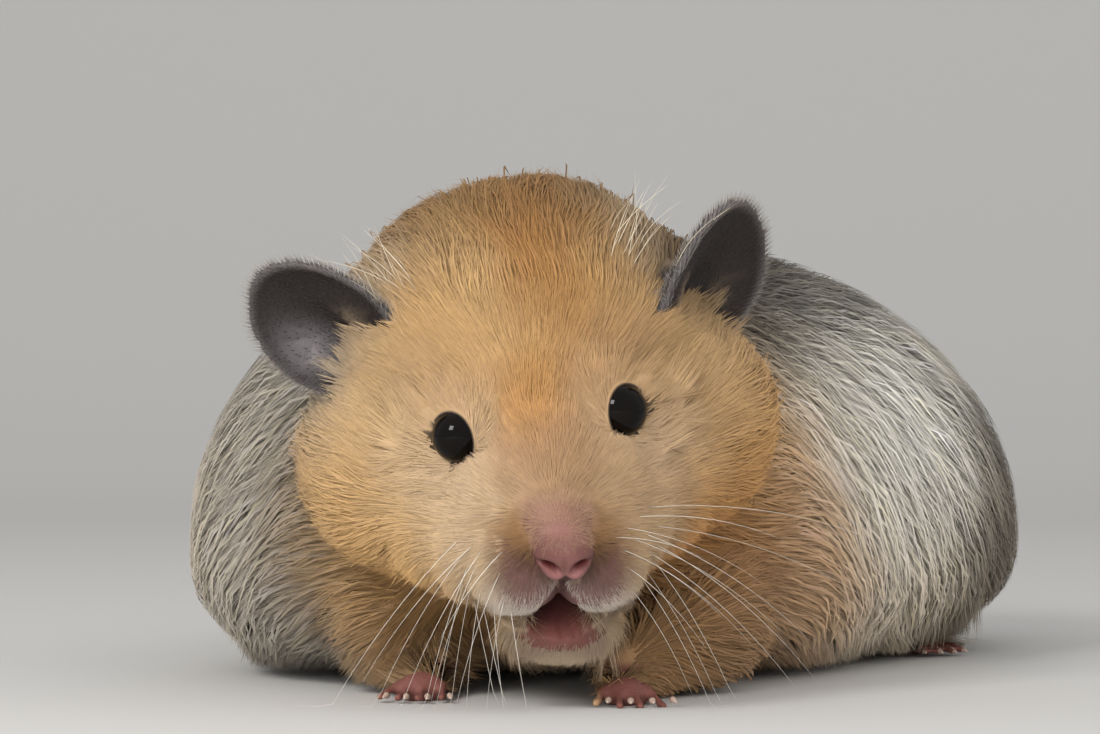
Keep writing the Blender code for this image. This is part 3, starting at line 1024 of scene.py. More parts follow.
@dataclass
class Ripple:
    """Smooth noise from a few waves in different directions.

    Attributes:
        size: Length of the waves.
        seed: Which noise.
        waves: How many waves are summed.
    """

    size: float
    seed: int
    waves: int = 7

    def at(self, points: Array) -> Array:
        """The noise at points, about -1 to 1.

        Args:
            points: The points.

        Returns:
            A number for each.
        """
        rng = np.random.default_rng(self.seed)
        ways = unit(rng.normal(size=(self.waves, 3))) * math.tau / self.size
        ways *= rng.uniform(0.7, 1.5, (self.waves, 1))
        phases = rng.uniform(0.0, math.tau, self.waves)
        return np.sin(points @ ways.T + phases).sum(axis=1) / math.sqrt(self.waves)


# ---- skin ----


@dataclass
class Skin:
    """One closed skin from nose to tail, with the face, ears and feet worked out on it.

    Attributes:
        stance: The frames.
        markings: The colours.
    """

    stance: Stance
    markings: Markings

    def build(self) -> bpy.types.Object:
        """Makes the skin.

        Returns:
            The skin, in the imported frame.
        """
        form = Form(self.stance, 0.6, 0.5, 8, 130_000)
        skin = form.build("skin")
        self.refine(skin, 9.0, 0.3)
        self.refine(skin, 8.0, 0.3)
        self.refine(skin, 4.2, 0.16)
        self.sculpt(skin)
        return skin

    def refine(self, skin: bpy.types.Object, reach: float, longest: float) -> None:
        """Splits long edges round the nose, mouth and eyes, where detail is small.

        Args:
            skin: The skin.
            reach: How far round the nose to split.
            longest: The longest edge that may stay, in millimetres.
        """
        shape = bmesh.new()
        shape.from_mesh(skin.data)
        bmesh.ops.triangulate(shape, faces=shape.faces[:])
        at = moved(np.array([vertex.co for vertex in shape.verts]), self.stance.to_head())
        near = np.linalg.norm(at - (0.0, -14.0, -9.0), axis=1) < reach
        for eye in self.stance.eyes.values():
            near |= np.linalg.norm(at - eye, axis=1) < min(reach, 4.6)
        shape.verts.index_update()
        split = [
            edge
            for edge in shape.edges
            if near[edge.verts[0].index] and near[edge.verts[1].index] and edge.calc_length() > longest
        ]
        bmesh.ops.subdivide_edges(shape, edges=split, cuts=1)
        bmesh.ops.triangulate(shape, faces=shape.faces[:])
        shape.to_mesh(skin.data)
        shape.free()

    def sculpt(self, skin: bpy.types.Object) -> None:
        """Works the face, ears and soles into the skin's points.

        Args:
            skin: The skin, in body millimetres.
        """
        points, _ = corners(skin.data)
        at = moved(points, self.stance.to_head())
        self.shape_nose(at)
        self.cut_mouth(at)
        self.cut_nose(at)
        for side in Side:
            self.cut_socket(at, side)
        self.stance.set_askew(at)
        points = moved(at, self.stance.head)
        for ear in EARS.values():
            points = self.fold_ear(points, ear)
        points[:, 2] = np.maximum(points[:, 2], 0.0)
        skin.data.vertices.foreach_set("co", points.astype(np.float32).ravel())
        skin.data.update()

    def cut_mouth(self, at: Array) -> None:
        """Presses the open mouth into points of the head frame.

        Args:
            at: Points of the head frame, which are changed.
        """
        off = mouth_off(at)
        front = at[:, 1] < -6.0
        inside = np.where(front, np.clip(1.0 - off, 0.0, 1.0), 0.0)
        at[:, 1] += 5.0 * np.sqrt(inside)
        rim = np.where(front, np.exp(-(((off - 1.3) / 0.4) ** 2)), 0.0)
        at[:, 1] -= 0.2 * rim

    def shape_nose(self, at: Array) -> None:
        """Squares the nose pad's round lump a little, in points of the head frame.

        Args:
            at: Points of the head frame, which are changed.
        """
        centre, size = np.array((0.0, -13.5, -6.6)), np.array((3.2, 2.9, 3.2))
        off = (at - centre) / size
        far = np.linalg.norm(off, axis=1)
        boxy = (np.abs(off) ** 2.6).sum(axis=1) ** (1 / 2.6)
        near = ramp(1.35 - far, 0.0, 0.25) * ramp(-off[:, 1], 0.0, 0.5)
        grown = 1.0 + (far / np.maximum(boxy, 1e-6) - 1.0) * near
        at[:] = centre + off * size * grown[:, None]
        at[:, 1] += 0.25 * near * ramp(-off[:, 1], 0.55, 1.05)

    def cut_nose(self, at: Array) -> None:
        """Presses the nostrils and the groove under them into points of the head frame.

        Args:
            at: Points of the head frame, which are changed.
        """
        x, y, z = at.T
        front = y < -9.0
        groove = np.exp(-((x / 0.42) ** 2)) * ramp(z, -16.4, -15.2) * (1.0 - ramp(z, -9.9, -8.9))
        at[:, 1] += np.where(front, 0.8 * groove, 0.0)
        crease = np.exp(-((x / 0.30) ** 2)) * ramp(z, -9.9, -9.0) * (1.0 - ramp(z, -8.2, -6.6))
        at[:, 1] += np.where(front, 0.25 * crease, 0.0)
        for side in Side:
            along = unit(np.array([[side.value * 0.92, 0.12, 0.38]]))[0]
            inward = unit(np.array([[side.value * -0.25, 0.95, 0.20]]))[0]
            across = np.cross(inward, along) * side.value
            off = at - (side.value * 1.62, -15.9, -8.05)
            a, b, c = off @ along, off @ across, off @ inward
            b = b - 0.22 * a * a
            pit = np.exp(-((a / 0.95) ** 2) - (b / 0.36) ** 2) * (np.abs(c) < 2.0) * front
            swell = np.exp(-far_squared(at, (side.value * 1.10, -15.2, -9.15), (1.05, 1.2, 0.62)))
            at += np.outer(1.5 * pit, inward) + np.outer(0.55 * swell, (0.0, -0.6, -0.75))

    def cut_socket(self, at: Array, side: Side) -> None:
        """Wraps the skin round an eyeball, with a lid's rim at its opening.

        Args:
            at: Points of the head frame, which are changed.
            side: Which eye.
        """
        centre = np.array(self.stance.eyes[side])
        off = at - centre
        far = np.linalg.norm(off, axis=1)
        angle = self.stance.lid_angle(off, side)
        ball, gap = self.stance.eye_radius, self.stance.lid_gap
        near = far < ball * 2.1
        opened = near & (angle < gap + 2.0)
        rise = ramp(angle, gap - 4.0, gap + 2.0)
        rim = np.exp(-(((angle - gap - 3.0) / 3.0) ** 2))
        least = ball * (1.01 + 0.04 * rim)
        wanted = np.where(opened, ball * 0.90 + (least - ball * 0.90) * rise, np.maximum(far, least))
        pull = near & ~opened & (angle < gap + 16.0)
        ease = ramp(angle, gap, gap + 16.0)
        wanted = np.where(pull, least + (np.maximum(far, least) - least) * ease, wanted)
        scale = np.where(near, wanted / np.maximum(far, 1e-6), 1.0)
        at[:] = centre + off * scale[:, None]

    def fold_ear(self, points: Array, ear: Ear) -> Array:
        """Works the low folds inside an ear.

        Args:
            points: The skin's points in body millimetres.
            ear: The ear.

        Returns:
            The points, moved.
        """
        frame = ear.frame(self.stance.head)
        own = moved(points, frame.inverted())
        share = ear_share(own, ear)
        x, z = own[:, 0], own[:, 2]
        fold = np.exp(-(((x + 2.6 + 0.10 * z) / 0.8) ** 2))
        fold += 0.8 * np.exp(-(((x - 1.4 - 0.05 * z) / 0.8) ** 2))
        fold *= ramp(z, 2.0, 4.0) * (1.0 - ramp(z, 9.0, 13.5))
        edge = ear_edge(own, ear)
        rim = np.exp(-(((edge - 0.97) / 0.07) ** 2))
        own[:, 1] -= share * (0.45 * fold + 0.25 * rim)
        own[:, 1] += share * 0.25 * Ripple(9.0, 5).at(own) * (1.0 - ramp(edge, 0.7, 1.0))
        return moved(own, frame)

    def dress(self, skin: bpy.types.Object) -> None:
        """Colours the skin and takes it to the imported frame.

        Args:
            skin: The skin, in body millimetres.
        """
        points, _ = corners(skin.data)
        colours = self.markings.skin(points)
        at = self.stance.face(points)
        mouth = (1.0 - ramp(mouth_off(at), 0.95, 1.5)) * (at[:, 1] < 2.0)
        # painted shade: the mouth's pink darkens further in
        deep = np.outer(ramp(at[:, 1], -9.5, -5.0), MOUTH_INWARD_SHADE)
        colours += (MOUTH_PINK - deep - colours) * mouth[:, None]
        wet = np.exp(-0.5 * far_squared(at, (0.0, -14.5, -7.5), (3.0, 2.5, 3.0)))
        for side in Side:
            off = self.stance.from_eye(points, side)
            beyond = self.stance.lid_angle(off, side) - self.stance.lid_gap
            lid = 1.0 - ramp(beyond, 0.0, DARK_RIM)
            lid *= np.linalg.norm(off, axis=1) < self.stance.eye_radius * 1.3
            colours += (RIM_BLACK - colours) * lid[:, None]
            # painted shade: the nostril pits darken to a deep red, over their own red
            off = at - (side.value * 1.62, -15.2, -8.05)
            off[:, 2] -= 0.40 * side.value * off[:, 0]
            pit = np.exp(-0.5 * ((off / (0.70, 0.9, 0.28)) ** 2).sum(axis=1))
            colours += (NOSTRIL_RED_AND_SHADE - colours) * (0.85 * pit)[:, None]
        put_colours(skin.data, "coat_colour", colours)
        put_numbers(skin.data, "wet", wet)
        skin.data.vertices.foreach_set("co", self.stance.packed(points).astype(np.float32).ravel())
        skin.data.update()
        skin.data.shade_smooth()


# ---- coat ----


@dataclass(frozen=True)
class Growth:
    """How the coat grows round one place.

    Attributes:
        centre: The place.
        reach: How far it holds.
        length: Length of a tuft.
        width: Width of a tuft.
        lift: Height of its tip over the skin.
        per_mm: Tufts on a square millimetre.
        wild: How far tufts stray from the lie of the coat, in radians.
        paired: Whether its mirror image is there too.
        place: The frame of centre.
        hold: How strongly it holds against its neighbours.
    """

    centre: Triple
    reach: float
    length: float
    width: float
    lift: float
    per_mm: float
    wild: float = 0.12
    paired: bool = True
    place: Place = Place.HEAD
    hold: float = 1.0


GROWTHS = (
    Growth((0.0, -13.5, -4.0), 2.0, 1.0, 0.08, 0.20, 64.0, paired=False),  # round the nose
    Growth((0.0, -14.9, -5.2), 1.1, 0.6, 0.05, 0.12, 90.0, 0.2, False, hold=4.0),  # down on the nose
    Growth((4.5, -11.5, -8.0), 2.2, 1.5, 0.10, 0.40, 62.0),  # beside the nose
    Growth((3.0, -12.0, -13.0), 2.4, 1.9, 0.07, 0.9, 50.0, 0.2),  # upper lip
    Growth((2.6, -10.5, -15.8), 1.3, 1.0, 0.07, 0.5, 46.0, 0.2, hold=2.0),  # lip's edge
    Growth((0.0, -12.2, -12.6), 1.3, 0.7, 0.07, 0.25, 45.0, 0.1, False, hold=6.0),  # middle of the lips
    Growth((8.0, -6.0, -9.0), 3.4, 2.8, 0.11, 0.8, 58.0, 0.16),  # whisker pads
    Growth((0.0, -8.0, -2.0), 3.0, 2.1, 0.11, 0.6, 60.0, paired=False),  # bridge
    Growth((0.0, -10.6, -18.9), 1.3, 1.0, 0.09, 0.15, 60.0, 0.3, False, hold=2.0),  # lower lip
    Growth((0.0, -9.0, -21.0), 3.6, 2.4, 0.11, 0.7, 56.0, 0.3, False),  # chin
    Growth((8.5, -2.0, 0.0), 2.6, 2.0, 0.11, 0.45, 64.0, 0.2),  # round the eyes
    Growth((0.0, 1.0, 5.0), 4.5, 3.8, 0.12, 1.4, 58.0, 0.16, False),  # between the eyes
    Growth((5.0, 8.0, 10.0), 5.0, 5.2, 0.12, 1.9, 60.0, 0.2),  # forehead
    Growth((6.0, 17.0, 14.0), 6.0, 7.8, 0.11, 4.4, 58.0, 0.34),  # crown
    Growth((14.0, 6.0, 2.0), 4.5, 5.0, 0.12, 2.0, 58.0, 0.2),  # temples
    Growth((15.0, 5.0, -8.0), 5.0, 5.4, 0.11, 2.8, 58.0, 0.22),  # cheeks
    Growth((19.0, 12.0, -12.0), 7.0, 8.5, 0.12, 4.6, 48.0, 0.28),  # low cheeks
    Growth((12.0, 6.0, -20.0), 7.0, 6.5, 0.13, 2.5, 34.0, 0.25),  # under the cheeks
    Growth((0.0, 5.0, -24.0), 7.0, 5.5, 0.15, 2.2, 22.0, 0.2, False),  # throat
    Growth((16.2, 12.0, 3.4), 3.0, 1.8, 0.11, 0.5, 60.0, 0.2, hold=4.0),  # before the ears
    Growth((14.0, 9.5, 6.5), 2.4, 2.4, 0.12, 0.8, 60.0, 0.2, hold=2.0),  # over the ears' roots
    Growth((8.4, 0.2, -1.5), 2.2, 1.2, 0.09, 0.20, 80.0, 0.2),  # lids
    Growth((5.6, -1.6, -2.4), 1.5, 0.7, 0.08, 0.15, 70.0, 0.1, hold=3.0),  # inner corners
    Growth((0.0, 28.0, 46.0), 12.0, 8.5, 0.14, 4.0, 22.0, 0.28, False, Place.BODY),  # nape
    Growth((0.0, 60.0, 46.0), 24.0, 10.5, 0.23, 3.8, 6.0, 0.12, False, Place.BODY),  # back
    Growth((38.0, 58.0, 22.0), 22.0, 11.5, 0.23, 4.2, 6.0, 0.12, True, Place.BODY),  # flanks
    Growth((44.0, 64.0, 4.0), 20.0, 10.5, 0.23, 4.4, 5.8, 0.14, True, Place.BODY),  # skirt
    Growth((20.0, 118.0, 22.0), 20.0, 10.5, 0.25, 4.2, 5.2, 0.13, False, Place.BODY),  # rump
    Growth((8.3, 10.0, 2.5), 3.2, 1.6, 0.12, 0.6, 40.0, 0.2, True, Place.BODY),  # forefeet
    Growth((-13.5, 17.0, 6.0), 4.5, 8.5, 0.15, 2.6, 22.0, 0.15, False, Place.BODY, 3.0),  # right wrist
    Growth((12.0, 20.0, 8.0), 9.0, 7.0, 0.16, 3.0, 16.0, 0.2, True, Place.BODY),  # chest
    Growth((10.0, 60.0, 2.0), 22.0, 9.0, 0.50, 3.0, 0.8, 0.2, True, Place.BODY),  # belly
)


class Zone(Enum):
    """The pieces that the coat is made in."""

    MUZZLE = "muzzle"
    BROW = "brow"
    CROWN = "crown"
    CHEEK = "cheek"
    THROAT = "throat"
    NECK = "neck"
    BACK = "back"
    FLANK_LEFT = "left_flank"
    FLANK_RIGHT = "right_flank"
    RUMP = "rump"


ZONES = list(Zone)
LOCKS = {Zone.MUZZLE: (6, 0.15), Zone.BROW: (6, 0.12), Zone.CROWN: (60, 0.36), Zone.CHEEK: (50, 0.32)}


@dataclass
class Roots:
    """Where tufts grow, as arrays with a row for each.

    Attributes:
        at: Places on the skin in body millimetres.
        out: The skin's outward normals there.
        length: Lengths.
        width: Widths.
        lift: Heights of the tips.
        wild: How far they stray.
    """

    at: Array
    out: Array
    length: Array
    width: Array
    lift: Array
    wild: Array

    def picked(self, which: Array) -> Roots:
        """Only some of the roots."""
        return Roots(*(getattr(self, name)[which] for name in self.__dataclass_fields__))


@dataclass
class Coat:
    """The coat: joined tufts that lie along the skin and reach the solids' outline.

    Attributes:
        stance: The frames.
        markings: The colours.
        points: The skin's points in body millimetres.
        triangles: The skin's triangles.
        seed: For what is left to chance.
        nose: Where the lie of the coat starts from, in the head frame.
        limit: The most triangles in one piece.
    """

    stance: Stance
    markings: Markings
    points: Array
    triangles: Array
    seed: int = 11
    nose: Triple = (0.0, -16.0, -3.5)
    limit: int = 190_000

    def __post_init__(self) -> None:
        """Prepares the search tree and the chance generator."""
        self.tree = BVHTree.FromPolygons(self.points.tolist(), self.triangles.tolist())
        self.rng = np.random.default_rng(self.seed)

    def growth(self, at: Array) -> Array:
        """Blends the growths at points.

        Args:
            at: Points in body millimetres.

        Returns:
            Rows of length, width, lift, tufts per square millimetre and stray.
        """
        in_head = self.stance.face(at)
        total = np.full(len(at), 1e-6)
        sizes = np.zeros((len(at), 5))
        for grown in GROWTHS:
            where = in_head if grown.place is Place.HEAD else at
            for centre in centres(grown):
                off = where - centre
                weight = grown.hold * np.exp(-0.5 * (off * off).sum(axis=1) / grown.reach**2) + 1e-7
                total += weight
                row = (grown.length, grown.width, grown.lift, grown.per_mm, grown.wild)
                sizes += np.outer(weight, row)
        return sizes / total[:, None]

    def bare(self, at: Array) -> Array:
        """How bare the skin is at points: 1 where nothing grows.

        Args:
            at: Points in body millimetres.

        Returns:
            Numbers from 0 to 1.
        """
        own = self.stance.face(at)
        x, y, z = own.T
        nose = np.sqrt(far_squared(own, (0.0, -14.6, -6.9), (3.35, 3.4, 3.1)))
        share = (1.0 - ramp(nose, 0.88, 1.16)) * (1.0 - 0.5 * ramp(z, -6.4, -4.8))
        lips = 1.0 - ramp(mouth_off(own) - np.where(z < -18.1, 0.25, 0.05), 1.0, 1.5)
        share = np.maximum(share, lips * (y < 2.0))
        groove = (np.abs(x) < 0.42 + 1.1 * ramp(-z, 11.4, 13.4)) & (z > -18.5) & (z < -9.0) & (y < -3.0)
        share = np.maximum(share, groove)
        for side in Side:
            off = self.stance.from_eye(at, side)
            lid = np.linalg.norm(off, axis=1) < self.stance.eye_radius * 1.25
            share = np.maximum(share, lid & (self.stance.lid_angle(off, side) < self.stance.lid_gap))
            beside = np.sqrt(far_squared(own, (side.value * 3.1, -12.5, -11.0), (2.3, 2.5, 3.5)))
            share = np.maximum(share, 0.62 * (1.0 - ramp(beside, 0.7, 1.15)))
        for ear in EARS.values():
            mine = moved(at, ear.frame(self.stance.head).inverted())
            share = np.maximum(share, ear_share(mine, ear) > 0.35)
        for foot in FEET.values():
            mine = moved(at, foot.frame().inverted())
            on = (np.abs(mine[:, 0]) < foot.width * 0.9) & (mine[:, 1] > -foot.length - 2.0)
            on &= (mine[:, 2] < 1.2) | ((mine[:, 1] < -foot.length * 0.66) & (mine[:, 2] < 4.0))
            on &= mine[:, 1] < 2.0
            share = np.maximum(share, on)
        tail = (at[:, 1] > 123.0) & (at[:, 2] < 17.5) & (np.abs(at[:, 0] - 24.5) < 4.0)
        return np.maximum(share, tail)

    def plant(self) -> Roots:
        """Spreads the roots over the skin, evenly for the wanted number at each place.

        Returns:
            The roots.
        """
        a, b, c = (self.points[self.triangles[:, k]] for k in range(3))
        cross = np.cross(b - a, c - a)
        area = np.linalg.norm(cross, axis=1) / 2
        middle = (a + b + c) / 3
        many = self.growth(middle)[:, 3] * (1.0 - self.bare(middle)) * area
        ends = np.cumsum(many)
        ticks = np.arange(int(ends[-1])) + self.rng.uniform(0.0, 1.0, int(ends[-1]))
        chosen = np.searchsorted(ends, np.clip(ticks, 0.0, ends[-1] - 1e-6))
        u, v = self.rng.uniform(0.0, 1.0, (2, len(chosen)))
        flip = u + v > 1.0
        u, v = np.where(flip, 1.0 - u, u), np.where(flip, 1.0 - v, v)
        at = a[chosen] + u[:, None] * (b - a)[chosen] + v[:, None] * (c - a)[chosen]
        out = unit(cross[chosen])
        length, width, lift, _, wild = self.growth(at).T
        return Roots(at, out, length, width, lift, wild)

    def lie(self, at: Array, out: Array) -> Array:
        """The way the coat lies at points of the skin.

        Args:
            at: Points in body millimetres.
            out: Outward normals.

        Returns:
            Unit vectors along the skin.
        """
        own = moved(at, self.stance.to_head())
        head_way = own - np.array(self.nose)
        head_way[:, 1] = np.maximum(head_way[:, 1], 0.5) * 1.15
        head_way[:, 2] -= 2.0 * ramp(-own[:, 2], 4.0, 18.0)
        head_way = unit(head_way)
        for eye in self.stance.eyes.values():
            off = own - np.array(eye)
            hold = 1.0 - ramp(np.linalg.norm(off, axis=1) - self.stance.eye_radius, 0.9, 2.6)
            inward = np.minimum(0.0, (head_way * unit(off)).sum(axis=1) - 0.25)
            head_way -= unit(off) * (inward * hold)[:, None]
        lips = ramp(-own[:, 2], 10.5, 13.5) * ramp(-own[:, 1], 2.0, 6.0)
        down = np.stack((own[:, 0] * 0.10, np.full(len(own), -0.25), np.full(len(own), -1.0)), axis=1)
        head_way += (down - head_way) * lips[:, None]
        head_way = self.stance.turned(head_way)
        sideways = np.clip((at[:, 0] - spine_middle(at)) / 30.0, -1.2, 1.2)
        steep = np.abs(sideways)
        rear = ramp(at[:, 1], 95.0, 125.0)
        body_way = np.stack(
            (
                0.35 * sideways,
                1.0 - 0.45 * steep * (1.0 - rear) - 0.35 * rear,
                -0.12 - 0.75 * steep - 0.7 * rear,
            ),
            axis=1,
        )
        behind = ramp(own[:, 1], 17.0, 30.0)[:, None]
        way = head_way * (1.0 - behind) + unit(body_way) * behind
        way -= out * (way * out).sum(axis=1, keepdims=True)
        return unit(way)

    def nearest(self, at: Array) -> tuple[Array, Array]:
        """The nearest places of the skin to points, and the normals there.

        Args:
            at: Points in body millimetres.

        Returns:
            The places and the normals.
        """
        found, outs = np.empty_like(at), np.empty_like(at)
        find = self.tree.find_nearest
        for row, place in enumerate(at.tolist()):
            spot, out, _, _ = find(place)
            found[row] = spot
            outs[row] = out
        return found, outs

    def strands(self, roots: Roots, steps: int) -> tuple[Array, Array]:
        """The middle lines of the tufts.

        Args:
            roots: The roots.
            steps: How many lengths each line is drawn in.

        Returns:
            Points by tuft and step, and the outward normals there.
        """
        count = len(roots.at)
        chance = self.rng.uniform(0.0, 1.0, (4, count))
        length = roots.length * (0.65 + 0.6 * chance[0])
        stray = np.where((chance[3] > 0.965) & (roots.at[:, 1] < 34.0), 1.5, 1.0)
        lift = roots.lift * (0.30 + 0.35 * chance[1] ** 0.7) * stray
        sway = Ripple(11.0, 21).at(roots.at) * 0.9 + (chance[2] - 0.5) * 1.1
        sway += Ripple(4.0, 22).at(roots.at) * 0.7
        line = np.empty((count, steps + 1, 3))
        outs = np.empty((count, steps + 1, 3))
        foot, out = roots.at.copy(), roots.out.copy()
        line[:, 0] = foot - out * 0.15
        outs[:, 0] = out
        place = foot.copy()
        step = (length / steps)[:, None]
        hang = ramp(12.0 - place[:, 2], 0.0, 9.0) * ramp(place[:, 1], 30.0, 44.0)
        for number in range(1, steps + 1):
            way = self.lie(foot, out)
            side = np.cross(out, way)
            way = unit(way + side * (roots.wild * sway)[:, None])
            share = number / steps
            height = lift * (1.0 - max(0.0, 1.0 - share * (1.0 if steps == 1 else 1.35)) ** 1.7)
            ahead = place + way * step
            found, out = self.nearest(ahead)
            level = ((ahead - found) * out).sum(axis=1)
            if steps == 1:
                height = np.maximum(height, 0.22 + 0.5 * level)
            rise = height - level
            rise = np.where(rise < 0.0, rise * (1.0 - 0.9 * hang), rise)
            place = ahead + out * rise[:, None]
            place[:, 2] -= hang * step[:, 0] * 0.55 * share
            place[:, 2] = np.maximum(place[:, 2], 0.25 + 0.8 * chance[3])
            foot = found
            line[:, number] = place
            outs[:, number] = out
        return line, outs

    def clump(self, roots: Roots, line: Array, each: int, pull: float) -> Array:
        """Draws the tips of neighbouring tufts together into locks.

        Args:
            roots: The roots.
            line: The middle lines.
            each: About how many tufts make a lock.
            pull: How far the tips come together, from 0 to 1.

        Returns:
            The middle lines, drawn together.
        """
        leaders = self.rng.choice(len(roots.at), max(1, len(roots.at) // each), replace=False)
        tree = KDTree(len(leaders))
        for place, leader in enumerate(leaders):
            tree.insert(roots.at[leader], place)
        tree.balance()
        chosen = np.array([leaders[tree.find(place)[1]] for place in roots.at.tolist()])
        steps = line.shape[1] - 1
        for number in range(1, steps + 1):
            share = pull * (number / steps) ** 1.3
            share = share * (0.55 + 0.6 * self.rng.uniform(0.0, 1.0, len(chosen)))[:, None]
            line[:, number] += (line[chosen, number] - line[:, number]) * share
        return line

    def unwrap(self, at: Array, zone: Zone) -> Array:
        """Where roots lie on an unwrap of the skin: a globe for the head, a tube for the trunk.

        Args:
            at: The roots' places.
            zone: Their zone of the coat.

        Returns:
            Rows of two numbers from 0 to 1.
        """
        if zone in (Zone.MUZZLE, Zone.BROW, Zone.CROWN, Zone.CHEEK, Zone.THROAT):
            way = unit(moved(at, self.stance.to_head()) - (0.0, 12.0, -4.0))
            u = np.arctan2(way[:, 0], -way[:, 1]) / math.tau + 0.5
            v = np.arcsin(np.clip(way[:, 2], -1.0, 1.0)) / math.pi + 0.5
        else:
            u = np.arctan2(at[:, 0] - spine_middle(at), at[:, 2] - 18.0) / math.tau + 0.5
            v = (at[:, 1] - 8.0) / 130.0
        return np.clip(np.stack((u, v), axis=1), 0.003, 0.997)

    def tufts(self, zone: Zone, name: str, roots: Roots, steps: int, flat: float) -> bpy.types.Object:
        """Makes one piece of the coat.

        Args:
            zone: The zone of the coat.
            name: Name of the piece.
            roots: Its roots.
            steps: Lengths along each tuft.
            flat: Thickness of a tuft as a share of its width.

        Returns:
            The piece.
        """
        count = len(roots.at)
        line, outs = self.strands(roots, steps)
        each, pull = LOCKS.get(zone, (150, 0.28))
        each = each if steps == 1 else 8
        line = self.clump(roots, line, each, pull)
        ways = np.gradient(line, axis=1)
        ways /= np.maximum(np.linalg.norm(ways, axis=2, keepdims=True), 1e-9)
        across = np.cross(ways, outs)
        across /= np.maximum(np.linalg.norm(across, axis=2, keepdims=True), 1e-9)
        up = np.cross(across, ways)
        spin = self.rng.uniform(-0.2, 0.2, count)[:, None, None]
        across, up = across * np.cos(spin) + up * np.sin(spin), up * np.cos(spin) - across * np.sin(spin)
        width = roots.width * self.rng.uniform(0.7, 1.25, count)
        taper = [[1.0], [0.85, 0.85]][steps - 1]
        sides = ((-0.5, -0.25), (0.5, -0.25), (0.0, 0.55))
        rings = []
        for number in range(steps):
            size = (width * taper[number])[:, None]
            for u, v in sides:
                aside = across[:, number] * size * u
                rings.append(line[:, number] + aside + up[:, number] * size * v * flat * 2)
        rings.append(line[:, steps])
        points = np.stack(rings, axis=1).reshape(-1, 3)
        piece = joined(name, self.stance.packed(points), strand_triangles(count, steps, True))
        self.paint(piece, zone, roots, steps)
        return piece

    def paint(self, piece: bpy.types.Object, zone: Zone, roots: Roots, steps: int) -> None:
        """Gives a piece its colours, its shares along the tufts and its OFBake map.

        Args:
            piece: The piece.
            zone: Its zone of the coat.
            roots: Its roots.
            steps: Lengths along each tuft.
        """
        count, each = len(roots.at), 3 * steps + 1
        colours = self.markings.coat(roots.at)
        tone = 1.0 + 0.05 * Ripple(3.0, 31).at(roots.at) + 0.07 * self.rng.normal(size=count)
        streak = ramp(Ripple(9.0, 33).at(roots.at * (1.0, 0.35, 0.5)), 0.0, 1.6)
        streak *= ramp(roots.at[:, 1], 30.0, 45.0)
        tone *= 1.0 - 0.26 * streak
        colours = colours * np.clip(tone, 0.45, 1.45)[:, None]
        warm = 0.05 * self.rng.normal(size=count)
        colours[:, 2] *= 1.0 - warm
        put_colours(piece.data, "coat_colour", np.clip(np.repeat(colours, each, axis=0), 0.0, PALEST))
        put_numbers(piece.data, "along", np.tile(strand_shares(steps), count))
        put_normals(piece.data, np.repeat(self.soft_out(roots), each, axis=0))
        put_bake_map(piece.data, self.unwrap(roots.at, zone), steps)

    def soft_out(self, roots: Roots) -> Array:
        """The outward way of the body's large form, which soft fur takes its light from.

        Args:
            roots: The roots.

        Returns:
            Unit vectors.
        """
        own = moved(roots.at, self.stance.to_head())
        head = self.stance.turned(unit(own - (0.0, 8.0, -8.0)))
        share = 0.6 * (1.0 - ramp(roots.at[:, 1], 22.0, 34.0))
        for eye in self.stance.eyes.values():
            off = np.linalg.norm(own - np.array(eye), axis=1) - self.stance.eye_radius
            share = np.maximum(share, 1.0 - ramp(off, 0.5, 2.0))
        share = np.maximum(share, 0.95 * ramp(-own[:, 2], 10.0, 13.0) * ramp(-own[:, 1], 3.0, 6.0))[:, None]
        return unit(roots.out * (1.0 - share) + head * share)

    def zones(self, at: Array) -> Array:
        """Which zone each root belongs to, as its place in the Zone enum.

        Args:
            at: The roots' places.

        Returns:
            A number for each root.
        """
        own = moved(at, self.stance.to_head())
        x, y, z = own.T
        which = np.full(len(at), ZONES.index(Zone.BACK))
        off = at[:, 0] - spine_middle(at)
        low = (np.abs(off) > BACK_HALF) | (at[:, 2] < BACK_LOW)
        which[low & (off > 0.0)] = ZONES.index(Zone.FLANK_LEFT)
        which[low & (off <= 0.0)] = ZONES.index(Zone.FLANK_RIGHT)
        which[at[:, 1] > 98.0] = ZONES.index(Zone.RUMP)
        which[at[:, 1] < 36.0] = ZONES.index(Zone.NECK)
        head = (y < 23.0) & (z > -25.0) & (np.abs(x) < 24.0)
        which[head & (z > 2.0)] = ZONES.index(Zone.CROWN)
        which[head & (z <= 2.0)] = ZONES.index(Zone.CHEEK)
        which[head & (z < -13.0)] = ZONES.index(Zone.THROAT)
        which[head & (y < 7.0) & (z > -6.0)] = ZONES.index(Zone.BROW)
        which[head & (y < 1.0) & (z <= -6.0)] = ZONES.index(Zone.MUZZLE)
        return which

